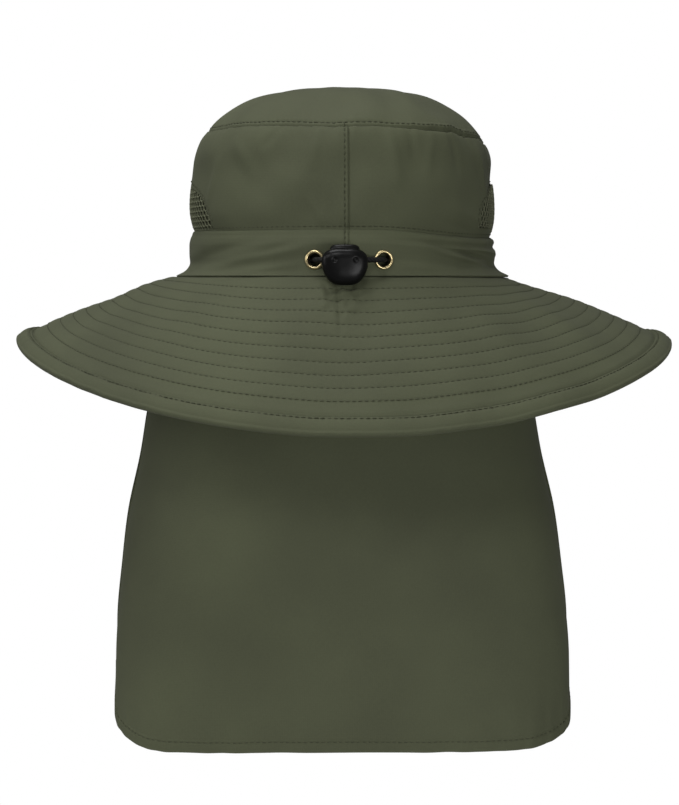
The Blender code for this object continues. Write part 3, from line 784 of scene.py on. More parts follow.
def crownBase(angle, along):
    # a point of the bare outline, this far down from the pole
    height = smooth(along, outlineAlong, outlinePoints[:, 0])
    halfWidth = np.maximum(smooth(along, outlineAlong, outlinePoints[:, 1]), 0)
    longer = hat["ovalLonger"] * np.clip(halfWidth / seamHalfWidth, 0, 1)
    full = rise(height, 24 * mm, 30 * mm) * (1 - rise(height, 34 * mm, 56 * mm))
    side = np.abs(np.sin(angle)) ** 6
    halfWidth = halfWidth + crown["sideFullness"] * full * side
    halfWidth = halfWidth + lean(angle) * np.clip(halfWidth / crown["halfWidth"], 0, 1) ** 2
    return oval(halfWidth, angle, height - tilt(angle, height), longer)


# How far down the outline the top seam runs from its mean line, round the crown.
seamRun = [
    # degrees from the back, shift (mm)
    (-180, -2.1),
    (-150, -3.0),
    (-120, -3.7),
    (-90, -0.5),
    (-65, 1.5),
    (-50, 2.4),
    (-35, 3.3),
    (-15, 4.3),
    (0, 4.7),
    (14, 4.7),
    (28, 4.9),
    (44, 5.4),
    (58, 7.6),
    (75, 8.4),
    (92, 7.0),
    (120, 3.0),
    (150, -1.0),
    (180, -2.1),
]


def looseness(angle):
    return hump(turned(angle, crown["looseAt"]), crown["looseSpan"])


def seamShift(angle):
    run = lookUp(seamRun, turned(angle, 0))[0] * mm
    wander = 0.3 * mm * ripple(angle, 40, 0 * angle, 5)
    waves = 0.5 * mm * looseness(angle) * ripple(angle, 8.5, 0 * angle, 7)
    return run + wander + waves


def crownRelief(angle, along):
    # how far the cloth stands in or out of the bare outline
    height = smooth(along, outlineAlong, outlinePoints[:, 0])
    total = np.zeros(np.broadcast(angle, along).shape)
    for middle, span, level, levelSpan, depth in crownHollows:
        around = hump(turned(angle, middle), span)
        total -= depth * mm * around * hump(height - level * mm, levelSpan * mm)
    total += creases(crownFolds, angle, height, crown["halfWidth"])
    fade = np.clip((height - 27 * mm) / (10 * mm), 0, 1)
    away = np.clip(along / (60 * mm), 0, 1) ** 2
    total += crown["crumple"] * fade * away * ripple(angle, 24, height / (34 * mm), 11)
    # the top seam: a furrow with small puckers on both sides
    fromSeam = along - seamAlong - seamShift(angle)
    loose = looseness(angle)
    furrow = crown["seamDip"] * (0.75 + 1.5 * loose)
    width = crown["seamWidth"] * (1 + 0.8 * loose)
    total -= furrow * bell(fromSeam, width) + 0.4 * mm * bell(fromSeam, 3.2 * mm)
    total += 0.8 * mm * loose * hump(fromSeam + 2.2 * mm, 2.4 * mm)
    pucker = ripple(angle, 3.0, 0 * along, 21) * np.exp(-np.abs(fromSeam) / (4 * mm))
    total += 0.3 * mm * pucker * (1 + loose)
    total -= 0.3 * mm * bell(fromSeam + crown["stitchAbove"], 0.6 * mm)
    # the back seam: its fold, and a welt on the left that the stitches hold down
    fromBack = np.radians(turned(angle, crown["backSeam"])) * crown["halfWidth"]
    below = rise(fromSeam, 0, 2 * mm)
    total -= crown["backSeamDip"] * below * bell(fromBack, crown["backSeamWidth"])
    total += 0.4 * mm * below * hump(fromBack + 1.4 * mm, 2.4 * mm)
    total -= 0.35 * mm * below * bell(fromBack + crown["backStitch"], 0.5 * mm)
    # a stitch line over the band, hidden behind its edge on the right
    return total - 0.3 * mm * bell(height - crown["bandStitch"], 0.6 * mm)


def crownSurface(angle, along):
    return raised(crownBase, crownRelief, angle, along, 0)


def crownAlongAt(height):
    # how far down the outline a height is, below the top's pole
    order = np.argsort(outlinePoints[:, 0])
    return np.interp(height, outlinePoints[order, 0], outlineAlong[order])


def ringAngles(columns, fineMiddle=0.0, fineHalf=0.0, fineStep=0.2):
    # even angles round the hat, with closer ones (in degrees) about one place
    angles = np.arange(columns) * 360 / columns
    if fineHalf:
        close = np.arange(fineMiddle - fineHalf, fineMiddle + fineHalf, fineStep) % 360
        far = np.abs(turned(np.radians(angles), fineMiddle)) > fineHalf
        angles = np.sort(np.concatenate((angles[far], close)))
    return np.radians(angles)


def crownColumns():
    return ringAngles(hat["columns"], crown["backSeam"] - 0.8, 3.0, 0.17)


def rowShares(fine, coarse, length):
    # shares of the way from a seam, in fine rows close to it and coarse ones beyond
    step = 0.4 * mm
    far = fine * step + np.linspace(0, 1, coarse) * length
    away = np.concatenate((np.arange(fine) * step, far))
    return away / away[-1]


def makeCrownTop():
    angle = crownColumns()[None, :]
    edge = seamAlong + seamShift(angle) - crown["topMargin"]
    grid = crownSurface(angle, edge * (1 - rowShares(14, 34, 86 * mm)[:, None]))
    grid[-1] = grid[-1].mean(0)
    made = wall("crown_top_cloth", grid, hat["cloth"], True, olive, pole=True)
    return finish(made, "hat", "shell_fabric", "crown_top")


windows = [
    # side, its CAD node, sign of X
    ("left", "mesh_panel_left", -1),
    ("right", "mesh_panel_right", 1),
]


def windowArch(node, grow):
    # the arched outline of a window from its node's box, as points (y, z)
    middle, half = middleAndHalf(node)
    sill = middle.z - half.z - grow * 0.5
    tall = 2 * half.z + grow * 1.5
    outline = []
    for i in range(49):
        turn = math.pi * i / 48
        y = middle.y + (half.y + grow) * math.cos(turn)
        outline.append((y, sill + tall * math.sin(turn) ** 0.8))
    return outline


def makeCrownSide():
    angle = crownColumns()[None, :]
    top = seamAlong + seamShift(angle) + crown["topMargin"]
    share = rowShares(12, 52, 84 * mm)[::-1, None]
    grid = crownSurface(angle, top + (crownLength - top) * share)
    made = wall("crown_side_cloth", grid, hat["cloth"], True, olive)
    # the windows are cut through both faces of the wall
    cutters = []
    for side, node, sign in windows:
        arch = windowArch(node, 0.0)
        rings = [[(sign * reach * mm, y, z) for y, z in arch] for reach in (55, 110)]
        cutters.append(plainObject("cutter_" + side, lofted(rings)))
    made = surfaced(cutAway(made, cutters, "crown_side_cloth"))
    return finish(made, "hat", "shell_fabric", "crown_side")


def crownStitches():
    lift = crown["stitchLift"]
    around = ringAngles(500)
    above = seamAlong + seamShift(around) - crown["stitchAbove"]
    down = np.linspace(seamAlong + 4 * mm, crownAlongAt(27 * mm), 60)
    left = math.radians(crown["backSeam"]) - crown["backStitch"] / crown["halfWidth"]
    overBand = np.full(500, crownAlongAt(crown["bandStitch"]))
    paths = [
        seamPath(crownSurface, around, above, lift, True),
        seamPath(crownSurface, np.full(60, left), down, lift, False),
        seamPath(crownSurface, around, overBand, lift, True),
    ]
    return sew("crown_stitches", paths, 4)


makeCrownTop()
makeCrownSide()
crownStitches()
print("crown made")


# Vent mesh in the two windows: a honeycomb of yarn with real holes

ventMesh = {
    "pitch": 4.4 * mm,
    "stretch": 0.72,  # the holes are wider than tall
    "yarn": 1.0 * mm,  # several fine yarns knitted together, drawn as one
    "margin": 0.2 * mm,  # from the window's sill and arch to its outermost corners
    "depth": 0.35 * mm,  # behind the crown's outer face
    "backing": 1.1 * mm,  # the fine knit behind the net, below the same face
    "backingCloth": 0.3 * mm,
    "backingMargin": 1.5 * mm,  # sewn in under the window's edge
}


def netTree():
    tree, given = newTree("net", {"Yarn": ventMesh["yarn"]})
    strands = addNode(tree, "GeometryNodeMeshToCurve", links={"Mesh": given["Geometry"]})
    return endTree(tree, given, tubeNodes(tree, strands.outputs[0], given["Yarn"], 6))


def honeycomb(low, high, pitch, tall):
    # the corners and edges of hexagons over a box, as flat points (y, z)
    side = pitch / math.sqrt(3)
    rowStep = 1.5 * side * tall
    corners, edges, known = [], set(), {}
    columns = int((high.y - low.y) / pitch) + 2
    rows = int((high.z - low.z) / rowStep) + 2
    for row in range(-1, rows):
        for column in range(-1, columns):
            y = low.y + (column + 0.5 * (row % 2)) * pitch
            z = low.z + row * rowStep
            ring = []
            for k in range(6):
                turn = math.pi / 6 + k * math.pi / 3
                corner = (y + side * math.cos(turn), z + side * tall * math.sin(turn))
                key = (round(corner[0] / side * 4), round(corner[1] / side * 4))
                if key not in known:
                    known[key] = len(corners)
                    corners.append(corner)
                ring.append(known[key])
            for a, b in zip(ring, ring[1:] + ring[:1]):
                edges.add((min(a, b), max(a, b)))
    return corners, sorted(edges)


def windowPoint(sign, y, z, lift, surface=crownBase):
    # the point of the crown's side over this y and z, moved off it
    angle, height = sign * math.pi / 2, z
    for _ in range(6):
        here = surface(np.array([angle]), np.array([crownAlongAt(height)]))[0]
        reach = here[1] / -math.cos(angle) if abs(math.cos(angle)) > 0.02 else 104 * mm
        angle = sign * math.acos(max(-0.98, min(0.98, -y / reach)))
        height += z - here[2]
    return here + lift * np.array([math.sin(angle), -math.cos(angle), 0.0])


def makeVentMesh(name, node, sign):
    low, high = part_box(node)
    corners, edges = honeycomb(low, high, ventMesh["pitch"], ventMesh["stretch"])
    middle, half = middleAndHalf(node)
    margin = ventMesh["margin"]
    kept = []
    for y, z in corners:
        across = min(1.0, abs(y - middle.y) / half.y)
        roof = low.z + 2 * half.z * (1 - across**2) ** 0.4
        kept.append(low.z + margin < z < roof - margin and abs(y - middle.y) < half.y)
    points = [tuple(windowPoint(sign, y, z, -ventMesh["depth"])) for y, z in corners]
    mesh = bpy.data.meshes.new(name + "_lines")
    mesh.from_pydata(points, [(a, b) for a, b in edges if kept[a] or kept[b]], [])
    made = linkObject(name + "_lines", mesh)
    net = applyTree(made, weaving, {"Yarn": ventMesh["yarn"], "Material": litMeshYarn}, name)
    net.data.shade_smooth()
    return finish(net, "hat", "vent_mesh", node)


def makeVentBacking(name, node, sign):
    # the fine knit that carries the net and closes the window
    middle, half = middleAndHalf(node)
    margin = ventMesh["backingMargin"]
    sill = middle.z - half.z - margin
    grid = []
    for level in np.linspace(0, 1, 18):
        row = []
        for across in np.linspace(-0.99, 0.99, 48):
            z = sill + 2 * (half.z + margin) * (1 - across**2) ** 0.4 * level
            y = middle.y + (half.y + margin) * across
            row.append(windowPoint(sign, y, z, -ventMesh["backing"]))
        grid.append(row)
    made = wall(name, np.array(grid), ventMesh["backingCloth"], False, knitBacking, flip=sign < 0)
    return finish(made, "hat", "vent_mesh")


def windowHems():
    # a row of stitches round each window, down to the band
    paths = []
    for _, node, sign in windows:
        arch = [(y, z) for y, z in windowArch(node, 2.6 * mm) if z > 31 * mm]
        points = np.array([windowPoint(sign, y, z, 0.2 * mm, crownSurface) for y, z in arch])
        paths.append((points, unit(points * np.array([1.0, 1.0, 0.0])), False))
    return sew("window_stitches", paths, 9)


weaving = netTree()
for side, node, sign in windows:
    makeVentBacking("vent_backing_" + side, node, sign)
for side, node, sign in windows:
    makeVentMesh("vent_mesh_" + side, node, sign)
windowHems()
print("vent mesh made")


# The band over the cord

band = {
    "height": 27 * mm,
    "halfWidth": 88.4 * mm,
    "flare": 7.2 * mm,
    "backFlare": 0.12,
    "foot": 0.9 * mm,
    "footLift": 0.3 * mm,  # off the brim at the sides
    "hole": 4.0 * mm,  # radius, under each eyelet's rim
    "rows": 46,
}

# The band's outer face. flare: share of how far the foot spreads.
bandOutline = [
    # height (mm), share of the half width, flare
    (band["foot"] / mm, 1.002, 1.05),
    (3.5, 1.002, 0.42),
    (7.0, 1.000, 0.04),
    (12.2, 0.999, 0.0),
    (18.9, 1.000, 0.0),
    (23.2, 0.989, 0.0),
    (27.0, 0.971, 0.0),
]

bandFolds = [
    # from angle, height (mm), to angle, height (mm), width (mm), depth (mm)
    (-68, 1, -8, 19, 3.2, 1.3),
    (-74, 8, -22, 25, 3.4, -1.0),
    (-44, 2, -13, 8, 2.2, 0.8),
    (-34, 13, -14, 22, 2.6, -0.6),
    (28, 22, 70, 10, 1.5, -1.5),
    (32, 17, 68, 5, 2.0, 1.0),
    (48, 21, 86, 15, 1.6, 1.2),
    (56, 9, 86, 4, 1.8, -1.0),
    (16, 7, 44, 3, 2.4, 0.7),
    (66, 25, 96, 17, 1.8, -1.0),
    (100, 20, 124, 8, 2.4, 1.0),
    (136, 6, 158, 21, 2.6, -0.9),
    (160, 8, 194, 20, 3.0, 1.0),
    (-150, 20, -118, 6, 2.6, 1.0),
    (-108, 22, -86, 8, 2.4, -0.9),
]


def footFlare(angle):
    side = np.sin(angle) ** 2
    return band["flare"] * (band["backFlare"] + (1 - band["backFlare"]) * side)


def bandSurface(angle, height):
    angle, height = np.broadcast_arrays(angle, height)
    share, flare = lookUp(bandOutline, height / mm)
    width = share * band["halfWidth"] + footFlare(angle) * flare
    relief = creases(bandFolds, angle, height, band["halfWidth"])
    relief = relief * (1 - 0.5 * hump(turned(angle, 88), 22))
    relief = relief + 0.45 * mm * ripple(angle, 20, height / (20 * mm), 31)
    # on the right the top edge stands up as a ridge with a furrow under it
    pulled = rise(turned(angle, 0), 6, 40) * (1 - rise(turned(angle, 0), 90, 130))
    relief = relief + 0.9 * mm * pulled * hump(height - 25.2 * mm, 2.4 * mm)
    relief = relief - 1.0 * mm * pulled * hump(height - 21.6 * mm, 2.6 * mm)
    # the top edge turns in, and its stitching leaves a furrow
    edge = np.clip((band["height"] - height) / (1.1 * mm), 0, 1)
    turnIn = 0.8 * mm * (1 - np.sqrt(1 - (1 - edge) ** 2))
    nearTop = hump(height - (band["height"] - 2.2 * mm), 2.0 * mm)
    # the back seam goes on down the band, its stitches on the left
    fromBack = np.radians(turned(angle, crown["backSeam"])) * band["halfWidth"]
    seam = bell(fromBack, 0.5 * mm) + 0.5 * bell(fromBack + crown["backStitch"], 0.5 * mm)
    dimple = 0.25 * mm * nearTop + 0.8 * mm * seam * rise(height, 3 * mm, 6 * mm)
    calm = 1 - hump(turned(angle, 1), 20)  # the cloth is held flat between the eyelets
    width = width + lean(angle) + relief * calm - turnIn - dimple
    lifted = band["footLift"] * np.sin(angle) ** 2 * (1 - rise(height, band["foot"], 4 * mm))
    return oval(width, angle, height - tilt(angle, height) + lifted)


def eyeletPlace(centre):
    # a frame at an eyelet's middle with its Z square to the band
    across, deep = band["halfWidth"], band["halfWidth"] + hat["ovalLonger"]
    angle = math.asin(centre.x / across)
    outward = Vector((math.sin(angle) / across, -math.cos(angle) / deep, 0)).normalized()
    side = Vector((0, 0, 1)).cross(outward)
    axes = Matrix((side, outward.cross(side), outward)).transposed()
    return Matrix.Translation(centre) @ axes.to_4x4()


def makeBand():
    share = np.linspace(0, 1, band["rows"])[:, None]
    height = band["foot"] + (band["height"] + 0.3 * mm - band["foot"]) * share**0.9
    grid = bandSurface(crownColumns()[None, :], height)
    made = wall("band_cloth", grid, hat["cloth"], True, olive)
    punches = []
    for node in ("eyelet_left", "eyelet_right"):
        place = eyeletPlace(middleAndHalf(node)[0])
        hole = cone((band["hole"], band["hole"]), 40, 9 * mm, place)
        punches.append(plainObject("punch_" + node, hole))
    made = surfaced(cutAway(made, punches, "band_cloth"))
    return finish(made, "hat", "shell_fabric", "band")


def bandStitches():
    left = math.radians(crown["backSeam"]) - crown["backStitch"] / band["halfWidth"]
    heights = np.linspace(band["height"] - 1 * mm, 5 * mm, 30)
    path = seamPath(bandSurface, np.full(30, left), heights, crown["stitchLift"], False)
    return sew("band_stitches", [path], 5)


makeBand()
bandStitches()
print("band made")


# The brass eyelets: a rolled rim in front, a shank and a washer behind

eyelet = {
    "outer": 5.25 * mm,
    "bore": 3.4 * mm,
    "shank": 3.85 * mm,
    "rim": 1.0 * mm,
    "lip": 0.15 * mm,  # small bends at the rim's foot and the washer's edge
    "gap": 1.9 * mm,  # between the rim's foot and the washer, for the cloth
    "washer": 0.4 * mm,
    "washerOuter": 4.5 * mm,
    "sides": 48,
}


def makeEyelet(name, node):
    centre = middleAndHalf(node)[0]
    place = eyeletPlace(centre)
    inverse = place.inverted()
    front = max((inverse @ v.co).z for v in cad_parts[node].data.vertices)
    outer, bore, shank, lip = eyelet["outer"], eyelet["bore"], eyelet["shank"], eyelet["lip"]
    half = (outer - bore) / 2
    foot = front - eyelet["rim"]
    profile = []
    for k in range(9):  # the rolled rim, from the bore over to the outer edge
        turn = math.pi - math.pi * k / 8
        profile.append((bore + half + half * math.cos(turn), foot + eyelet["rim"] * math.sin(turn)))
    back = foot - eyelet["gap"]
    end = back - eyelet["washer"]
    profile += [(outer - 0.25 * mm, foot - lip), (shank, foot - lip), (shank, back)]
    profile += [(eyelet["washerOuter"], back), (eyelet["washerOuter"], end)]
    profile += [(bore + lip, end), (bore, end + lip)]
    points = []
    for i in range(eyelet["sides"]):
        turn = 2 * math.pi * i / eyelet["sides"]
        spoke = Vector((math.cos(turn), math.sin(turn), 0))
        points += [place @ (spoke * r + Vector((0, 0, h))) for r, h in reversed(profile)]
    made = linkMesh(name, points, tubeFaces(eyelet["sides"], len(profile), True), brass)
    return finish(made, "hat", "eyelet_brass", node)


makeEyelet("eyelet_ring_left", "eyelet_left")
makeEyelet("eyelet_ring_right", "eyelet_right")
print("eyelets made")


# The brim: a stiffened double cloth, stitched in rings that leave soft ribs between

brim = {
    "width": 100 * mm,
    "thickness": 2.0 * mm,
    "inner": 83.0 * mm,  # half width of the edge sewn in behind the band
    "sideDroop": 20.7,  # degrees, as the three below
    "backDroop": 50.4,
    "frontDroop": 27.0,
    "leftLift": 1.2,
    "droopPower": 1.5,
    "curl": 7.7,  # how many degrees steeper its edge is than its root
    "sideways": 2.5 * mm,
    "rowPitch": 8.1 * mm,
    "rows": 10,
    "puff": 0.62 * mm,
    "fullness": 0.5,
    "stitchLift": 0.22 * mm,
    "foldRadius": 112 * mm,  # at which the folds' angles are turned into lengths
    "bound": 9.5 * mm,  # how far the binding reaches in from the edge
    "columns": 380,
}

# Gathers under the cord lock and small creases, from the seam outwards.
brimFolds = [
    # from angle, reach (mm), to angle, reach (mm), width (mm), depth (mm)
    (-9.0, 3, -6.5, 22, 1.8, 0.4),
    (-6.6, 2, -5.0, 30, 2.2, -0.6),
    (-3.2, 1, -2.2, 40, 1.8, -0.9),
    (-0.8, 2, -2.6, 24, 1.6, 0.6),
    (2.2, 2, -0.4, 20, 1.8, -0.5),
    (5.2, 2, 2.8, 18, 2.0, -0.5),
    (-40, 10, -46, 70, 9.0, 0.9),
    (-66, 20, -74, 80, 10.0, -1.0),
    (34, 12, 40, 78, 9.0, 0.9),
    (62, 20, 68, 84, 9.0, -1.0),
]


def brimBase(angle, reach):
    angle, reach = np.broadcast_arrays(angle, reach)
    cosine = np.cos(angle)
    forward = np.where(cosine > 0, brim["backDroop"], brim["frontDroop"])
    droop = brim["sideDroop"] + (forward - brim["sideDroop"]) * np.abs(cosine) ** brim["droopPower"]
    droop = droop - brim["leftLift"] * np.maximum(0, -np.sin(angle)) ** 4
    mean = np.radians(droop)
    curl = math.radians(brim["curl"])
    share = np.maximum(reach, 0) / brim["width"]
    root = mean - 0.5 * curl
    tip = mean + curl * (share - 0.5)
    out = brim["width"] / curl * (np.sin(tip) - np.sin(root))
    drop = brim["width"] / curl * (np.cos(root) - np.cos(tip))
    foot = band["halfWidth"] * bandOutline[0][1] + footFlare(angle)
    tucked = brim["inner"] + (foot - brim["inner"]) * np.clip(1 + reach / (6 * mm), 0, 1)
    halfWidth = np.where(reach < 0, tucked, foot + lean(angle) + out)
    # behind the band the seam allowance turns up, so no light comes through
    turnedUp = np.maximum(-reach, 0) * 0.5
    points = oval(halfWidth, angle, turnedUp - drop)
    points[..., 0] += (brim["sideways"] - lean(angle)) * share
    return points


def brimRelief(angle, reach):
    relief = creases(brimFolds, angle, reach, brim["foldRadius"])
    fade = np.clip(reach / (20 * mm), 0, 1)
    relief = relief + 0.7 * mm * fade * ripple(angle, 26, reach / (60 * mm), 41)
    # crumpled cloth under the cord lock
    near = rise(reach, 0, 3 * mm) * (1 - rise(reach, 12 * mm, 36 * mm))
    crumpled = hump(turned(angle, -2), 12) * near
    relief = relief + 0.85 * mm * crumpled * ripple(angle, 3.4, reach / (8 * mm), 43)
    # a groove where the binding begins, and one at the band's foot
    fromBinding = reach - (brim["width"] - brim["bound"])
    relief = relief - 0.8 * mm * bell(fromBinding, 1.3 * mm) - 0.4 * mm * bell(reach, 1.6 * mm)
    # the right side leaves the band more steeply than the left
    side = rise(np.sin(angle), 0.4, 1.0) - 0.7 * rise(-np.sin(angle), 0.4, 1.0)
    relief = relief - 1.4 * mm * side * hump(reach - 14 * mm, 30 * mm)
    return relief * rise(reach, -0.5 * mm, 2 * mm)


def brimSurface(angle, reach):
    return raised(brimBase, brimRelief, angle, reach, -brim["width"])


def quiltTree():
    # pushes both faces of a flat double cloth out between its stitched rings
    inputs = {
        "Row Pitch": brim["rowPitch"],
        "Rows": float(brim["rows"]),
        "Puff": brim["puff"],
        "Fullness": brim["fullness"],
    }
    tree, given = newTree("quilted_cloth", inputs)
    values = {"data_type": "FLOAT", "Name": "reach"}
    reach = addNode(tree, "GeometryNodeInputNamedAttribute", values).outputs[0]
    count = maths(tree, "DIVIDE", reach, given["Row Pitch"])
    wave = maths(tree, "SINE", maths(tree, "MULTIPLY", count, math.pi))
    full = maths(tree, "POWER", maths(tree, "ABSOLUTE", wave), given["Fullness"])
    # none in the plain stretch past the last row, nor in what is tucked in
    left = maths(tree, "SUBTRACT", given["Rows"], count)
    inside = maths(tree, "MULTIPLY_ADD", left, 20.0, 1.0, use_clamp=True)
    outside = maths(tree, "MULTIPLY", count, 20.0, use_clamp=True)
    puffed = maths(tree, "MULTIPLY", full, maths(tree, "MULTIPLY", inside, outside))
    lift = maths(tree, "MULTIPLY", puffed, given["Puff"])
    normal = addNode(tree, "GeometryNodeInputNormal").outputs["Normal"]
    links = {0: normal, "Scale": lift}
    offset = addNode(tree, "ShaderNodeVectorMath", {"operation": "SCALE"}, links)
    links = {"Geometry": given["Geometry"], "Offset": offset.outputs[0]}
    moved = addNode(tree, "GeometryNodeSetPosition", links=links)
    return endTree(tree, given, moved.outputs[0])


# Where the faces lie across one rib: closer at the stitches.
ribSteps = [0.0, 0.06, 0.16, 0.32, 0.5, 0.68, 0.84, 0.94]


def makeBrim():
    angle = ringAngles(brim["columns"], -1.0, 9.0, 0.4)[None, :]
    tucked = np.array([-6.0, -3.0, -1.0]) * mm
    ribs = [(k + share) * brim["rowPitch"] for k in range(brim["rows"]) for share in ribSteps]
    last = brim["rows"] * brim["rowPitch"]
    rows = np.concatenate((tucked, ribs, np.linspace(last, brim["width"], 16)))
    grid = brimSurface(angle, rows[:, None])
    made = wall("brim_flat", grid, brim["thickness"] - 0.4 * mm, True, olive, flip=True)
    reach = np.repeat(rows, angle.shape[1])
    attribute = made.data.attributes.new("reach", "FLOAT", "POINT")
    attribute.data.foreach_set("value", np.concatenate((reach, reach)).astype(np.float32))
    quilted = applyTree(made, quiltTree(), {"Material": olive}, "brim_cloth")
    quilted.data.shade_smooth()
    return finish(quilted, "hat", "shell_fabric", "brim")


def brimRow(count, reach, lift):
    # a path of so many points round the brim
    return seamPath(brimSurface, ringAngles(count), np.full(count, reach), lift, True)


def brimStitches():
    rows = range(1, brim["rows"] + 1)
    paths = [brimRow(600, row * brim["rowPitch"], brim["stitchLift"]) for row in rows]
    return sew("brim_stitches", paths, 6)


makeBrim()
brimStitches()
print("brim made")


# The binding: a strip folded over the brim's edge

binding = {
    "width": brim["bound"],
    "cloth": 1.2 * mm,
    "stitch": 1.7 * mm,  # from its inner edge
    "columns": 420,
    "creaseRadius": 190 * mm,  # as the folds' radius above
}

bindingCreases = [
    # angle, width (mm), depth (mm)
    (-6.4, 0.8, -0.7),
    (-5.2, 1.4, 0.35),
    (26.5, 1.2, -0.5),
    (28.4, 1.6, 0.3),
    (64, 1.5, -0.3),
    (-48, 1.5, -0.3),
]


def bindingSection():
    # (out past the brim's edge, up from its top face), round from the inner edge on top
    width, cloth = binding["width"], binding["cloth"]
    thick = brim["thickness"]
    top = []
    for k in range(21):
        share = k / 20
        out = -width + width * share
        crest = cloth * (0.9 + 0.9 * math.sin(math.pi * min(1.0, share * 1.1)) ** 0.7)
        crest -= cloth * 0.7 * bell(out + width - binding["stitch"], 0.6 * mm)
        if k == 0:
            crest = -cloth * 0.4
        top.append((out, crest))
    nose = []
    centre = -thick / 2
    radius = thick / 2 + cloth * 0.85
    for k in range(1, 8):
        turn = math.pi / 2 - math.pi * k / 8
        nose.append((radius * 0.62 * math.cos(turn), centre + radius * math.sin(turn)))
    under = [(out, -thick - up * 0.8) for out, up in reversed(top)]
    return top + nose + under


def makeBinding():
    angles = ringAngles(binding["columns"])
    edge = brimSurface(angles, np.full_like(angles, brim["width"]))
    inner = brimSurface(angles, np.full_like(angles, brim["width"] - 4 * mm))
    along = unit(edge - inner)
    up = unit(np.cross(along, np.roll(edge, -1, 0) - np.roll(edge, 1, 0)))
    section = bindingSection()
    crease = np.zeros_like(angles)
    for middle, width, depth in bindingCreases:
        aside = np.radians(turned(angles, middle)) * binding["creaseRadius"]
        crease += depth * mm * bell(aside, width * mm)
    pucker = 0.22 * mm * ripple(angles, 2.6, 0 * angles, 51)
    points = []
    for out, height in section:
        inset = brimSurface(angles, np.full_like(angles, brim["width"] + min(out, 0)))
        lifted = height + (crease + pucker) * (1 if height > 0 else 0.4)
        points.append(inset + along * max(out, 0) + up * lifted[:, None])
    grid = np.stack(points)
    faces = tubeFaces(len(section), len(angles), True)
    uv = np.stack(np.meshgrid(lengths(grid[0]), lengths(np.array(section))), -1)
    made = linkMesh("binding_cloth", grid.reshape(-1, 3), faces, olive, uv.reshape(-1, 2))
    return finish(made, "hat", "shell_fabric", "brim_binding")


def bindingStitches():
    reach = brim["width"] - binding["width"] + binding["stitch"]
    return sew("binding_stitches", [brimRow(700, reach, binding["cloth"] * 1.05)], 8)


makeBinding()
bindingStitches()
print("binding made")


# The neck flap: one hanging sheet with a turned and stitched hem

flap = {
    "tuck": 8 * mm,
    "drop": 257.3 * mm,
    "topHalfWidth": 81.0 * mm,
    "hemHalfWidth": 128.4 * mm,
    "hemDepth": 52 * mm,
    "hemBack": 97 * mm,
    "squareness": 3.2,
    "wave": 2.6 * mm,
    "cornerLength": 64 * mm,
    "cornerHeight": 36 * mm,
    "hem": 6.5 * mm,
    "hemThickness": 2.2 * mm,
    "hemStitch": 0.9 * mm,  # in from the turned edge
    "columns": 230,
    "rows": 92,
    "flat": (0.328, 0.2715),  # opened out: 315 mm of hem and two side hems, tuck, drop and hem
}

flapRows = [
    # shares of the drop, of the widening, and of the turn from the head's oval to the hem's curve
    (0.000, 0.00, 0.00),
    (0.045, 0.00, 0.00),
    (0.100, 0.16, 0.03),
    (0.200, 0.43, 0.12),
    (0.330, 0.63, 0.27),
    (0.480, 0.75, 0.45),
    (0.610, 0.88, 0.62),
    (0.740, 0.95, 0.77),
    (0.880, 1.00, 0.92),
    (1.000, 1.00, 1.00),
]


def flapPlan(turn, halfWidth, bearing):
    power = 2 / (2 + (flap["squareness"] - 2) * turn)
    x = halfWidth * np.sign(bearing) * np.abs(np.sin(bearing)) ** power
    topDepth = flap["topHalfWidth"] + hat["ovalLonger"]
    depth = topDepth + (flap["hemDepth"] - topDepth) * turn
    back = topDepth + (flap["hemBack"] - topDepth) * turn
    y = depth * (1 - np.abs(np.cos(bearing)) ** power) - back
    return x, y


def hemBearings(columns):
    # bearings that space the columns along the hem, closer at the two side hems
    fine = np.linspace(-math.pi / 2, math.pi / 2, 2001)
    x, y = flapPlan(1.0, flap["hemHalfWidth"], fine)
    along = lengths(np.stack((x, y), -1))
    total = along[-1]
    fringe = 9 * mm
    close = np.arange(0, fringe, 0.5 * mm)
    between = np.linspace(fringe, total - fringe, columns - 2 * len(close))
    wanted = np.concatenate((close, between, total - close[::-1]))
    return np.interp(wanted, along, fine), wanted, total


def flapDrops():
    # shares of the drop from the top edge to the hem, closer at the hem
    close = 12 * mm / (flap["tuck"] + flap["drop"])
    fine = 1 - np.linspace(close, 0, 31)
    return np.concatenate((np.linspace(0, 1 - close, flap["rows"])[:-1], fine))


def flapSurface(bearing, lift, drop):
    spread, turn = lookUp(flapRows, drop)
    halfWidth = flap["topHalfWidth"] + (flap["hemHalfWidth"] - flap["topHalfWidth"]) * spread
    x, y = flapPlan(turn, halfWidth, bearing)
    z = flap["tuck"] - drop * (flap["tuck"] + flap["drop"] - lift)
    wave = flap["wave"] * drop * -np.cos(4 * bearing) * np.cos(bearing)
    small = 0.9 * mm * drop * ripple(bearing, 34, drop * 1.6, 61)
    # the hem's stitching gathers the cloth into short creases above it
    hemPucker = 0.5 * mm * ripple(bearing, 6, 0 * drop, 63) * drop**24
    gathers = 0.8 * mm * ripple(bearing, 13, drop * 5, 65) * rise(drop, 0.84, 0.98)
    y = y - wave - small - hemPucker - gathers
    return np.stack(np.broadcast_arrays(x, y, z), -1)


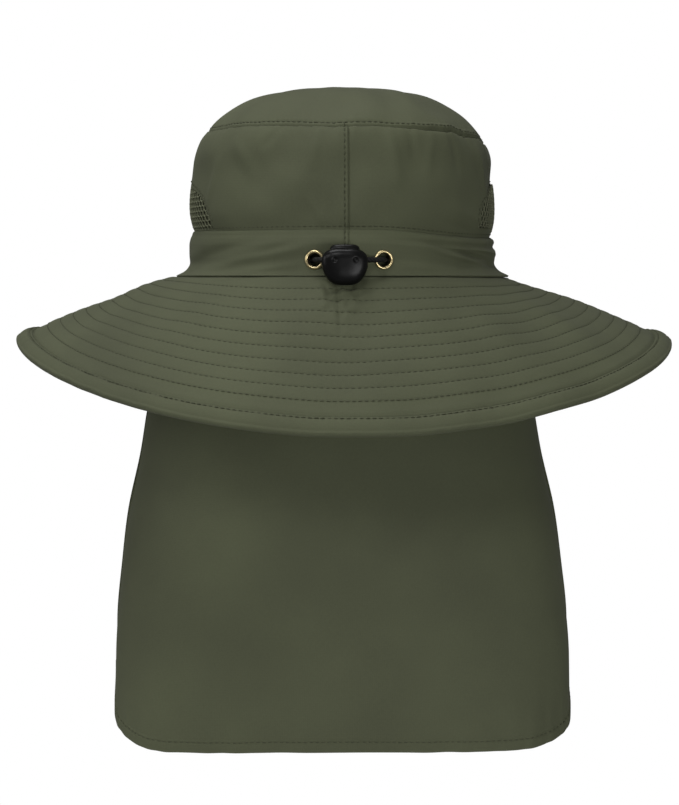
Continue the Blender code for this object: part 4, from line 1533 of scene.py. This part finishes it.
def makeFlap():
    bearing, along, length = hemBearings(flap["columns"])
    ends = np.minimum(along, length - along)
    share = np.clip(1 - ends / flap["cornerLength"], 0, 1)
    lift = flap["cornerHeight"] * (1 - np.sqrt(1 - share**2))
    drop = flapDrops()[:, None]
    grid = flapSurface(bearing[None, :], lift[None, :], drop)
    # distance from the free edge: the hem below, its corners and the two sides
    below = (1 - drop) * (flap["tuck"] + flap["drop"] - lift[None, :])
    level = flapSurface(bearing[None, :], 0, drop)
    steps = np.linalg.norm(np.diff(level, axis=1), axis=2)
    run = np.concatenate((np.zeros((len(drop), 1)), np.cumsum(steps, axis=1)), axis=1)
    side = np.minimum(run, run[:, -1:] - run)
    # the side hems are turned inwards and lie flat; the one along the foot stands out
    foot = 0.5 + 0.5 * np.tanh((flap["hem"] - below) / (0.35 * mm))
    sides = 0.5 + 0.5 * np.tanh((flap["hem"] - 1.5 * mm - side) / (0.35 * mm))
    groove = 0.7 * mm * bell(below - flap["hem"] + flap["hemStitch"], 0.7 * mm)
    doubled = flap["hemThickness"] - hat["cloth"]
    outward = -normalsOf(level, False)
    outer = grid + outward * ((doubled * foot - groove) * 0.6)[..., None]
    thickness = hat["cloth"] + doubled * np.maximum(foot, sides) - groove
    return outer, thickness, outward, lift


flapGrid, flapThickness, flapOutward, flapLift = makeFlap()
flapCloth = wall(
    "neck_flap_cloth", flapGrid, flapThickness, False, olive, flip=True, outward=flapOutward
)
finish(flapCloth, "hat", "shell_fabric", "neck_flap")
print("flap made")


def flapStitches():
    # along the hem, just inside the turned edge
    total = flap["tuck"] + flap["drop"]
    reach = flap["hem"] - flap["hemStitch"]
    rows, columns = flapGrid.shape[:2]
    drops = flapDrops()
    inset = 11  # columns left free in the side hems
    path, ups = [], []
    for c in range(inset, columns - inset):
        r = np.interp(1 - reach / (total - flapLift[c]), drops, np.arange(rows))
        low = min(int(r), rows - 2)
        share = r - low
        path.append(flapGrid[low, c] * (1 - share) + flapGrid[low + 1, c] * share)
        ups.append(flapOutward[low, c])
    ups = np.array(ups)
    return sew("flap_stitches", [(np.array(path) + ups * 0.1 * mm, ups, False)], 12)


flapStitches()


# The cord lock: a moulded body and its button

lock = {
    "depthPower": 3.2,
    "bore": 1.9 * mm,
    "boreBack": 1.0 * mm,
    "boreReach": 32 * mm,
    "mouth": 3.4 * mm,  # radius of the bore's flared ends
    "mouthDepth": 4.6 * mm,
    "mouthInset": 2.0 * mm,  # of its middle from the body's side
    "cordHeight": 9.2 * mm,
    "dimple": 1.9 * mm,
    "dimpleSpacing": 11 * mm,
    "dimpleDepth": 0.9 * mm,
    "clearance": 0.3 * mm,
    "around": 84,
    "deep": 36,
    "voxel": 0.32 * mm,
    "sharpEdge": math.pi,  # no edge stays sharp
}

button = {
    "power": 2.8,
    "dome": 2.6 * mm,
    "raised": 0.6 * mm,  # its dome over the CAD's
    "travel": 2.8 * mm,
    "sharpEdge": math.radians(35),
    "sides": 72,
}

# The body's outline from the back: a hexagon with rounded corners.
lockOutline = [
    # mm right of its middle, mm over the origin
    (0.0, 15.3),
    (5.4, 15.1),
    (9.8, 13.4),
    (12.2, 9.6),
    (11.8, 4.6),
    (9.4, -0.6),
    (5.6, -3.6),
    (0.0, -4.2),
    (-5.6, -3.6),
    (-9.4, -0.4),
    (-11.9, 4.8),
    (-12.3, 9.8),
    (-9.9, 13.5),
    (-5.4, 15.1),
]


def superellipse(turn, power):
    c, s = math.cos(turn), math.sin(turn)
    return (
        math.copysign(abs(c) ** (2 / power), c),
        math.copysign(abs(s) ** (2 / power), s),
    )


def lockBlank():
    middle, half = middleAndHalf("cord_lock_body")
    around, deep = lock["around"], lock["deep"]
    corners = len(lockOutline)
    turns = np.arange(-3, corners + 4)
    table = np.array([lockOutline[k % corners] for k in turns]) * mm
    steps = np.linspace(0, corners, around, endpoint=False)
    right = smooth(steps, turns, table[:, 0])
    level = smooth(steps, turns, table[:, 1])
    waist = table[:, 1].mean()
    rings = []
    for k in range(1, deep):
        across, along = superellipse(math.pi * k / deep - math.pi / 2, lock["depthPower"])
        x, z = middle.x + right * across, waist + (level - waist) * across
        y = middle.y + half.y * along
        rings.append([(x[i], y, z[i]) for i in range(around)])
    return plainObject("lock_blank", lofted(rings))


def boreMiddle():
    # where the cord passes the lock's middle
    middle = middleAndHalf("cord_lock_body")[0]
    return Vector((middle.x, middle.y + lock["boreBack"], lock["cordHeight"]))


def buttonRing(z, grow=0.0, share=1.0):
    middle, half = middleAndHalf("cord_lock_button")
    ring = []
    for i in range(button["sides"]):
        c, s = superellipse(2 * math.pi * i / button["sides"], button["power"])
        x = middle.x + (half.x + grow) * c * share
        ring.append((x, middle.y + (half.y + grow) * s * share, z))
    return ring


def makeLockBody():
    middle, half = middleAndHalf("cord_lock_body")
    low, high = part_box("cord_lock_button")
    clear = lock["clearance"]
    foot = low.z - button["travel"] - clear
    well = lofted([buttonRing(z, clear) for z in (foot, high.z + 3 * mm)])
    bore, quarter = boreMiddle(), math.pi / 2
    along = Matrix.Translation(bore) @ Matrix.Rotation(quarter, 4, "Y")
    cutters = [
        plainObject("well", well),
        plainObject("bore", cone((lock["bore"], lock["bore"]), 36, lock["boreReach"], along)),
    ]
    for side in (-1, 1):
        mouth = Matrix.Translation(bore + Vector((side * (half.x - lock["mouthInset"]), 0, 0)))
        mouth = mouth @ Matrix.Rotation(side * quarter, 4, "Y")
        flared = cone((lock["bore"] * 1.2, lock["mouth"]), 36, lock["mouthDepth"], mouth)
        cutters.append(plainObject("mouth", flared))
        ball = bmesh.new()
        bmesh.ops.create_uvsphere(ball, u_segments=32, v_segments=16, radius=lock["dimple"])
        front = middle.y - half.y - lock["dimple"] + lock["dimpleDepth"]
        spot = Vector((middle.x + side * lock["dimpleSpacing"] / 2, front, lock["cordHeight"]))
        ball.transform(Matrix.Translation(spot))
        cutters.append(plainObject("dimple", ball))
    made = cutAway(lockBlank(), cutters, "lock_body")
    remesh = made.modifiers.new("even", "REMESH")
    remesh.mode = "VOXEL"
    remesh.voxel_size = lock["voxel"]
    remesh.use_smooth_shade = True
    soften = made.modifiers.new("soften", "SMOOTH")
    soften.factor = 0.5
    soften.iterations = 4
    made = surfaced(baked(made, "cord_lock_shell"), nylon, lock["sharpEdge"])
    return finish(made, "hat", "black_plastic", "cord_lock_body")


def makeButton():
    middle, half = middleAndHalf("cord_lock_button")
    foot = middle.z - half.z
    top = middle.z + half.z + button["raised"]
    rim = top - button["dome"]
    levels = [(foot, 0.94), (foot + 0.4 * mm, 1.0), (rim, 1.0)]
    for k in range(1, 15):
        turn = math.pi / 2 * k / 15
        levels.append((rim + button["dome"] * math.sin(turn), 0.55 + 0.45 * math.cos(turn) ** 0.9))
    levels += [(top, 0.5), (top, 0.3), (top, 0.12)]
    made = plainObject("button_blank", lofted([buttonRing(z, 0.0, share) for z, share in levels]))
    # a slot for the cord, long enough for the button's way down
    slot = bmesh.new()
    bmesh.ops.create_cube(slot, size=1.0)
    tall = 2 * lock["bore"] + button["travel"]
    bore = boreMiddle()
    place = Matrix.Translation((middle.x, bore.y, bore.z - lock["bore"] + tall / 2))
    slot.transform(place @ Matrix.Diagonal((3 * half.x, 2 * lock["bore"], tall, 1)))
    made = cutAway(made, [plainObject("slot", slot)], "cord_lock_push")
    made = surfaced(made, litButtonNylon, button["sharpEdge"])
    return finish(made, "button", "black_plastic", "cord_lock_button")


makeLockBody()
makeButton()
print("cord lock made")


# The draw cord: held all the way, in the tunnel, the eyelets and the lock

cord = {
    "diameter": 3.0 * mm,
    "halfWidth": 84.5 * mm,  # of the oval that it follows in the tunnel
    "sides": 20,
    "tunnelStart": 5.0,  # degrees past the eyelet
    "tunnelSteps": 40,
    "lay": 5.5 * mm,  # one turn of a strand
    "spacing": 0.8 * mm,
}

# Each bend is given as: back from the eyelet's middle, out from the face named, as diameters.
cordBends = [
    # face (mm out of the band's outer face), back, out
    (1.25, 0.50, 0.45),
    (-0.6, 0.05, 0.0),
    (-2.05, -0.18, 0.0),
    (-3.9, -0.95, 0.08),
]


def cordEnd(side):
    half = middleAndHalf("cord_lock_body")[1]
    bore = boreMiddle()
    up = Vector((0, 0, 1))
    across = cord["diameter"]
    start, mouth = side * lock["clearance"], bore.x + side * half.x
    points = []
    for share in (0.0, 0.3, 0.6):
        points.append(Vector((start + (mouth - start) * share, bore.y, bore.z)))
    points.append(Vector((mouth - side * 0.9 * across, bore.y + 0.03 * across, bore.z)))
    centre = middleAndHalf("eyelet_right" if side > 0 else "eyelet_left")[0]
    angle = math.asin(centre.x / band["halfWidth"])
    faceMiddle = Vector(oval(band["halfWidth"], angle, bore.z))
    outward = eyeletPlace(centre).to_3x3() @ up
    towardsBack = up.cross(outward) * -side
    for face, back, out in cordBends:
        stand = face * mm + out * across
        points.append(faceMiddle + towardsBack * back * across + outward * stand)
    return points, angle


def evenCurve(points, spacing):
    # evenly spaced points on a smooth curve through the given ones
    dense = []
    for k in range(len(points) - 1):
        before, after = points[max(k - 1, 0)], points[min(k + 2, len(points) - 1)]
        here, there = points[k], points[k + 1]
        slope = there - before
        bend = 2 * before - 5 * here + 4 * there - after
        twist = 3 * here - before - 3 * there + after
        for i in range(12):
            t = i / 12
            dense.append(0.5 * (2 * here + slope * t + bend * t**2 + twist * t**3))
    dense.append(points[-1])
    route = np.array(dense)
    along = lengths(route)
    wanted = np.linspace(0, along[-1], int(along[-1] / spacing) + 1)
    return np.stack([np.interp(wanted, along, route[:, k]) for k in range(3)], -1), wanted


def makeCord():
    left, leftAngle = cordEnd(-1)
    right, rightAngle = cordEnd(1)
    start = leftAngle - math.radians(cord["tunnelStart"])
    end = rightAngle + math.radians(cord["tunnelStart"])
    turn = 2 * math.pi - (end - start)
    tunnel = []
    for i in range(cord["tunnelSteps"] + 1):
        angle = start - turn * i / cord["tunnelSteps"]
        tunnel.append(Vector(oval(cord["halfWidth"], angle, lock["cordHeight"])))
    route, along = evenCurve(left + tunnel + list(reversed(right)), cord["spacing"])
    tangent = unit(np.gradient(route, axis=0))
    aside = unit(np.cross(tangent, [0.0, 0.0, 1.0]))
    up = np.cross(aside, tangent)
    count, sides = len(route), cord["sides"]
    turns = np.arange(sides) * 2 * math.pi / sides
    # two sets of strands cross in a plait
    twist = along[:, None] / cord["lay"] * 2 * math.pi
    plait = np.abs(np.sin(4 * turns + twist)) * np.abs(np.sin(4 * turns - twist))
    size = cord["diameter"] / 2 * (0.94 + 0.06 * plait)
    points = (
        route[:, None, :]
        + aside[:, None, :] * (np.cos(turns) * size)[..., None]
        + up[:, None, :] * (np.sin(turns) * size)[..., None]
    )
    faces = tubeFaces(count, sides, False)
    faces.append(tuple(range(sides)))
    faces.append(tuple(reversed(range((count - 1) * sides, count * sides))))
    uv = np.stack(np.meshgrid(turns * cord["diameter"] / 2, along), -1).reshape(-1, 2)
    made = linkMesh("draw_cord_braid", points.reshape(-1, 3), faces, cordBraid, uv)
    print("cord length", round(float(along[-1]), 4))
    return finish(made, "hat", "elastic_cord", "draw_cord")


makeCord()
print("cord made")


# Floor, lights and world

studio = {
    "floorGap": 330 * mm,  # under the hem, as the hat is held up by a head
    "floorSize": 14.0,
    "paper": (0.9, 0.9, 0.9, 1),
    "ambient": 0.17,
    "white": (1, 1, 1, 1),
}

lamps = [
    # name, place, size, power
    ("key", (-0.35, -1.75, 1.15), 0.45, 8.5),
    ("left", (-1.3, -1.4, 1.0), 0.5, 5.5),
    ("side", (-1.8, -0.6, 0.45), 0.8, 9.0),
    ("fill", (0.7, -1.75, -0.6), 1.1, 28.0),
    ("top", (-0.3, -0.1, 1.8), 1.0, 22.0),
]


def makeFloor():
    bpy.ops.mesh.primitive_plane_add(size=studio["floorSize"])
    floor = bpy.context.object
    floor.name = "studio_floor"
    level = cadBounds[0][2] - studio["floorGap"]
    floor.data.transform(Matrix.Translation((0, 0, level)))
    made, tree, shader = newMaterial("pale_paper")
    shader.inputs["Base Color"].default_value = studio["paper"]
    shader.inputs["Roughness"].default_value = 0.9
    # it fades to a white backdrop away from the hat
    place = addNode(tree, "ShaderNodeTexCoord").outputs["Object"]
    values = {"operation": "MULTIPLY", 1: (1, 1, 0)}
    flat = addNode(tree, "ShaderNodeVectorMath", values, {0: place})
    far = addNode(tree, "ShaderNodeVectorMath", {"operation": "LENGTH"}, {0: flat.outputs[0]})
    fade = mapped(tree, far.outputs["Value"], fromMin=0.3, fromMax=0.75)
    # white to the camera, but a weak light for the hat
    ray = addNode(tree, "ShaderNodeLightPath").outputs["Is Camera Ray"]
    strength = mapped(tree, ray, toMin=0.2, toMax=1.0)
    glow = addNode(tree, "ShaderNodeEmission", {"Color": studio["white"]}, {"Strength": strength})
    links = {0: fade, 1: shader.outputs[0], 2: glow.outputs[0]}
    mixed = addNode(tree, "ShaderNodeMixShader", links=links)
    tree.links.new(mixed.outputs[0], tree.nodes["Material Output"].inputs["Surface"])
    floor.data.materials.append(made)


def makeLights():
    for name, place, size, power in lamps:
        data = bpy.data.lights.new(name, "AREA")
        data.size = size
        data.energy = power
        lamp = linkObject(name, data)
        lamp.location = place
        aim = Vector((0, 0, -0.05)) - Vector(place)
        lamp.rotation_euler = aim.to_track_quat("-Z", "Y").to_euler()


def makeWorld():
    # a white backdrop to the camera, a softer white to everything it lights
    world = bpy.data.worlds.new("studio")
    world.use_nodes = True
    tree = world.node_tree
    background = tree.nodes["Background"]
    background.inputs["Color"].default_value = studio["white"]
    background.inputs["Strength"].default_value = studio["ambient"]
    seen = addNode(tree, "ShaderNodeBackground", {"Color": studio["white"], "Strength": 1.0})
    ray = addNode(tree, "ShaderNodeLightPath").outputs["Is Camera Ray"]
    links = {0: ray, 1: background.outputs[0], 2: seen.outputs[0]}
    mixed = addNode(tree, "ShaderNodeMixShader", links=links)
    tree.links.new(mixed.outputs[0], tree.nodes["World Output"].inputs["Surface"])
    bpy.context.scene.world = world
    bpy.context.scene.view_settings.view_transform = "Standard"


makeFloor()
makeLights()
makeWorld()

print("scene ready")
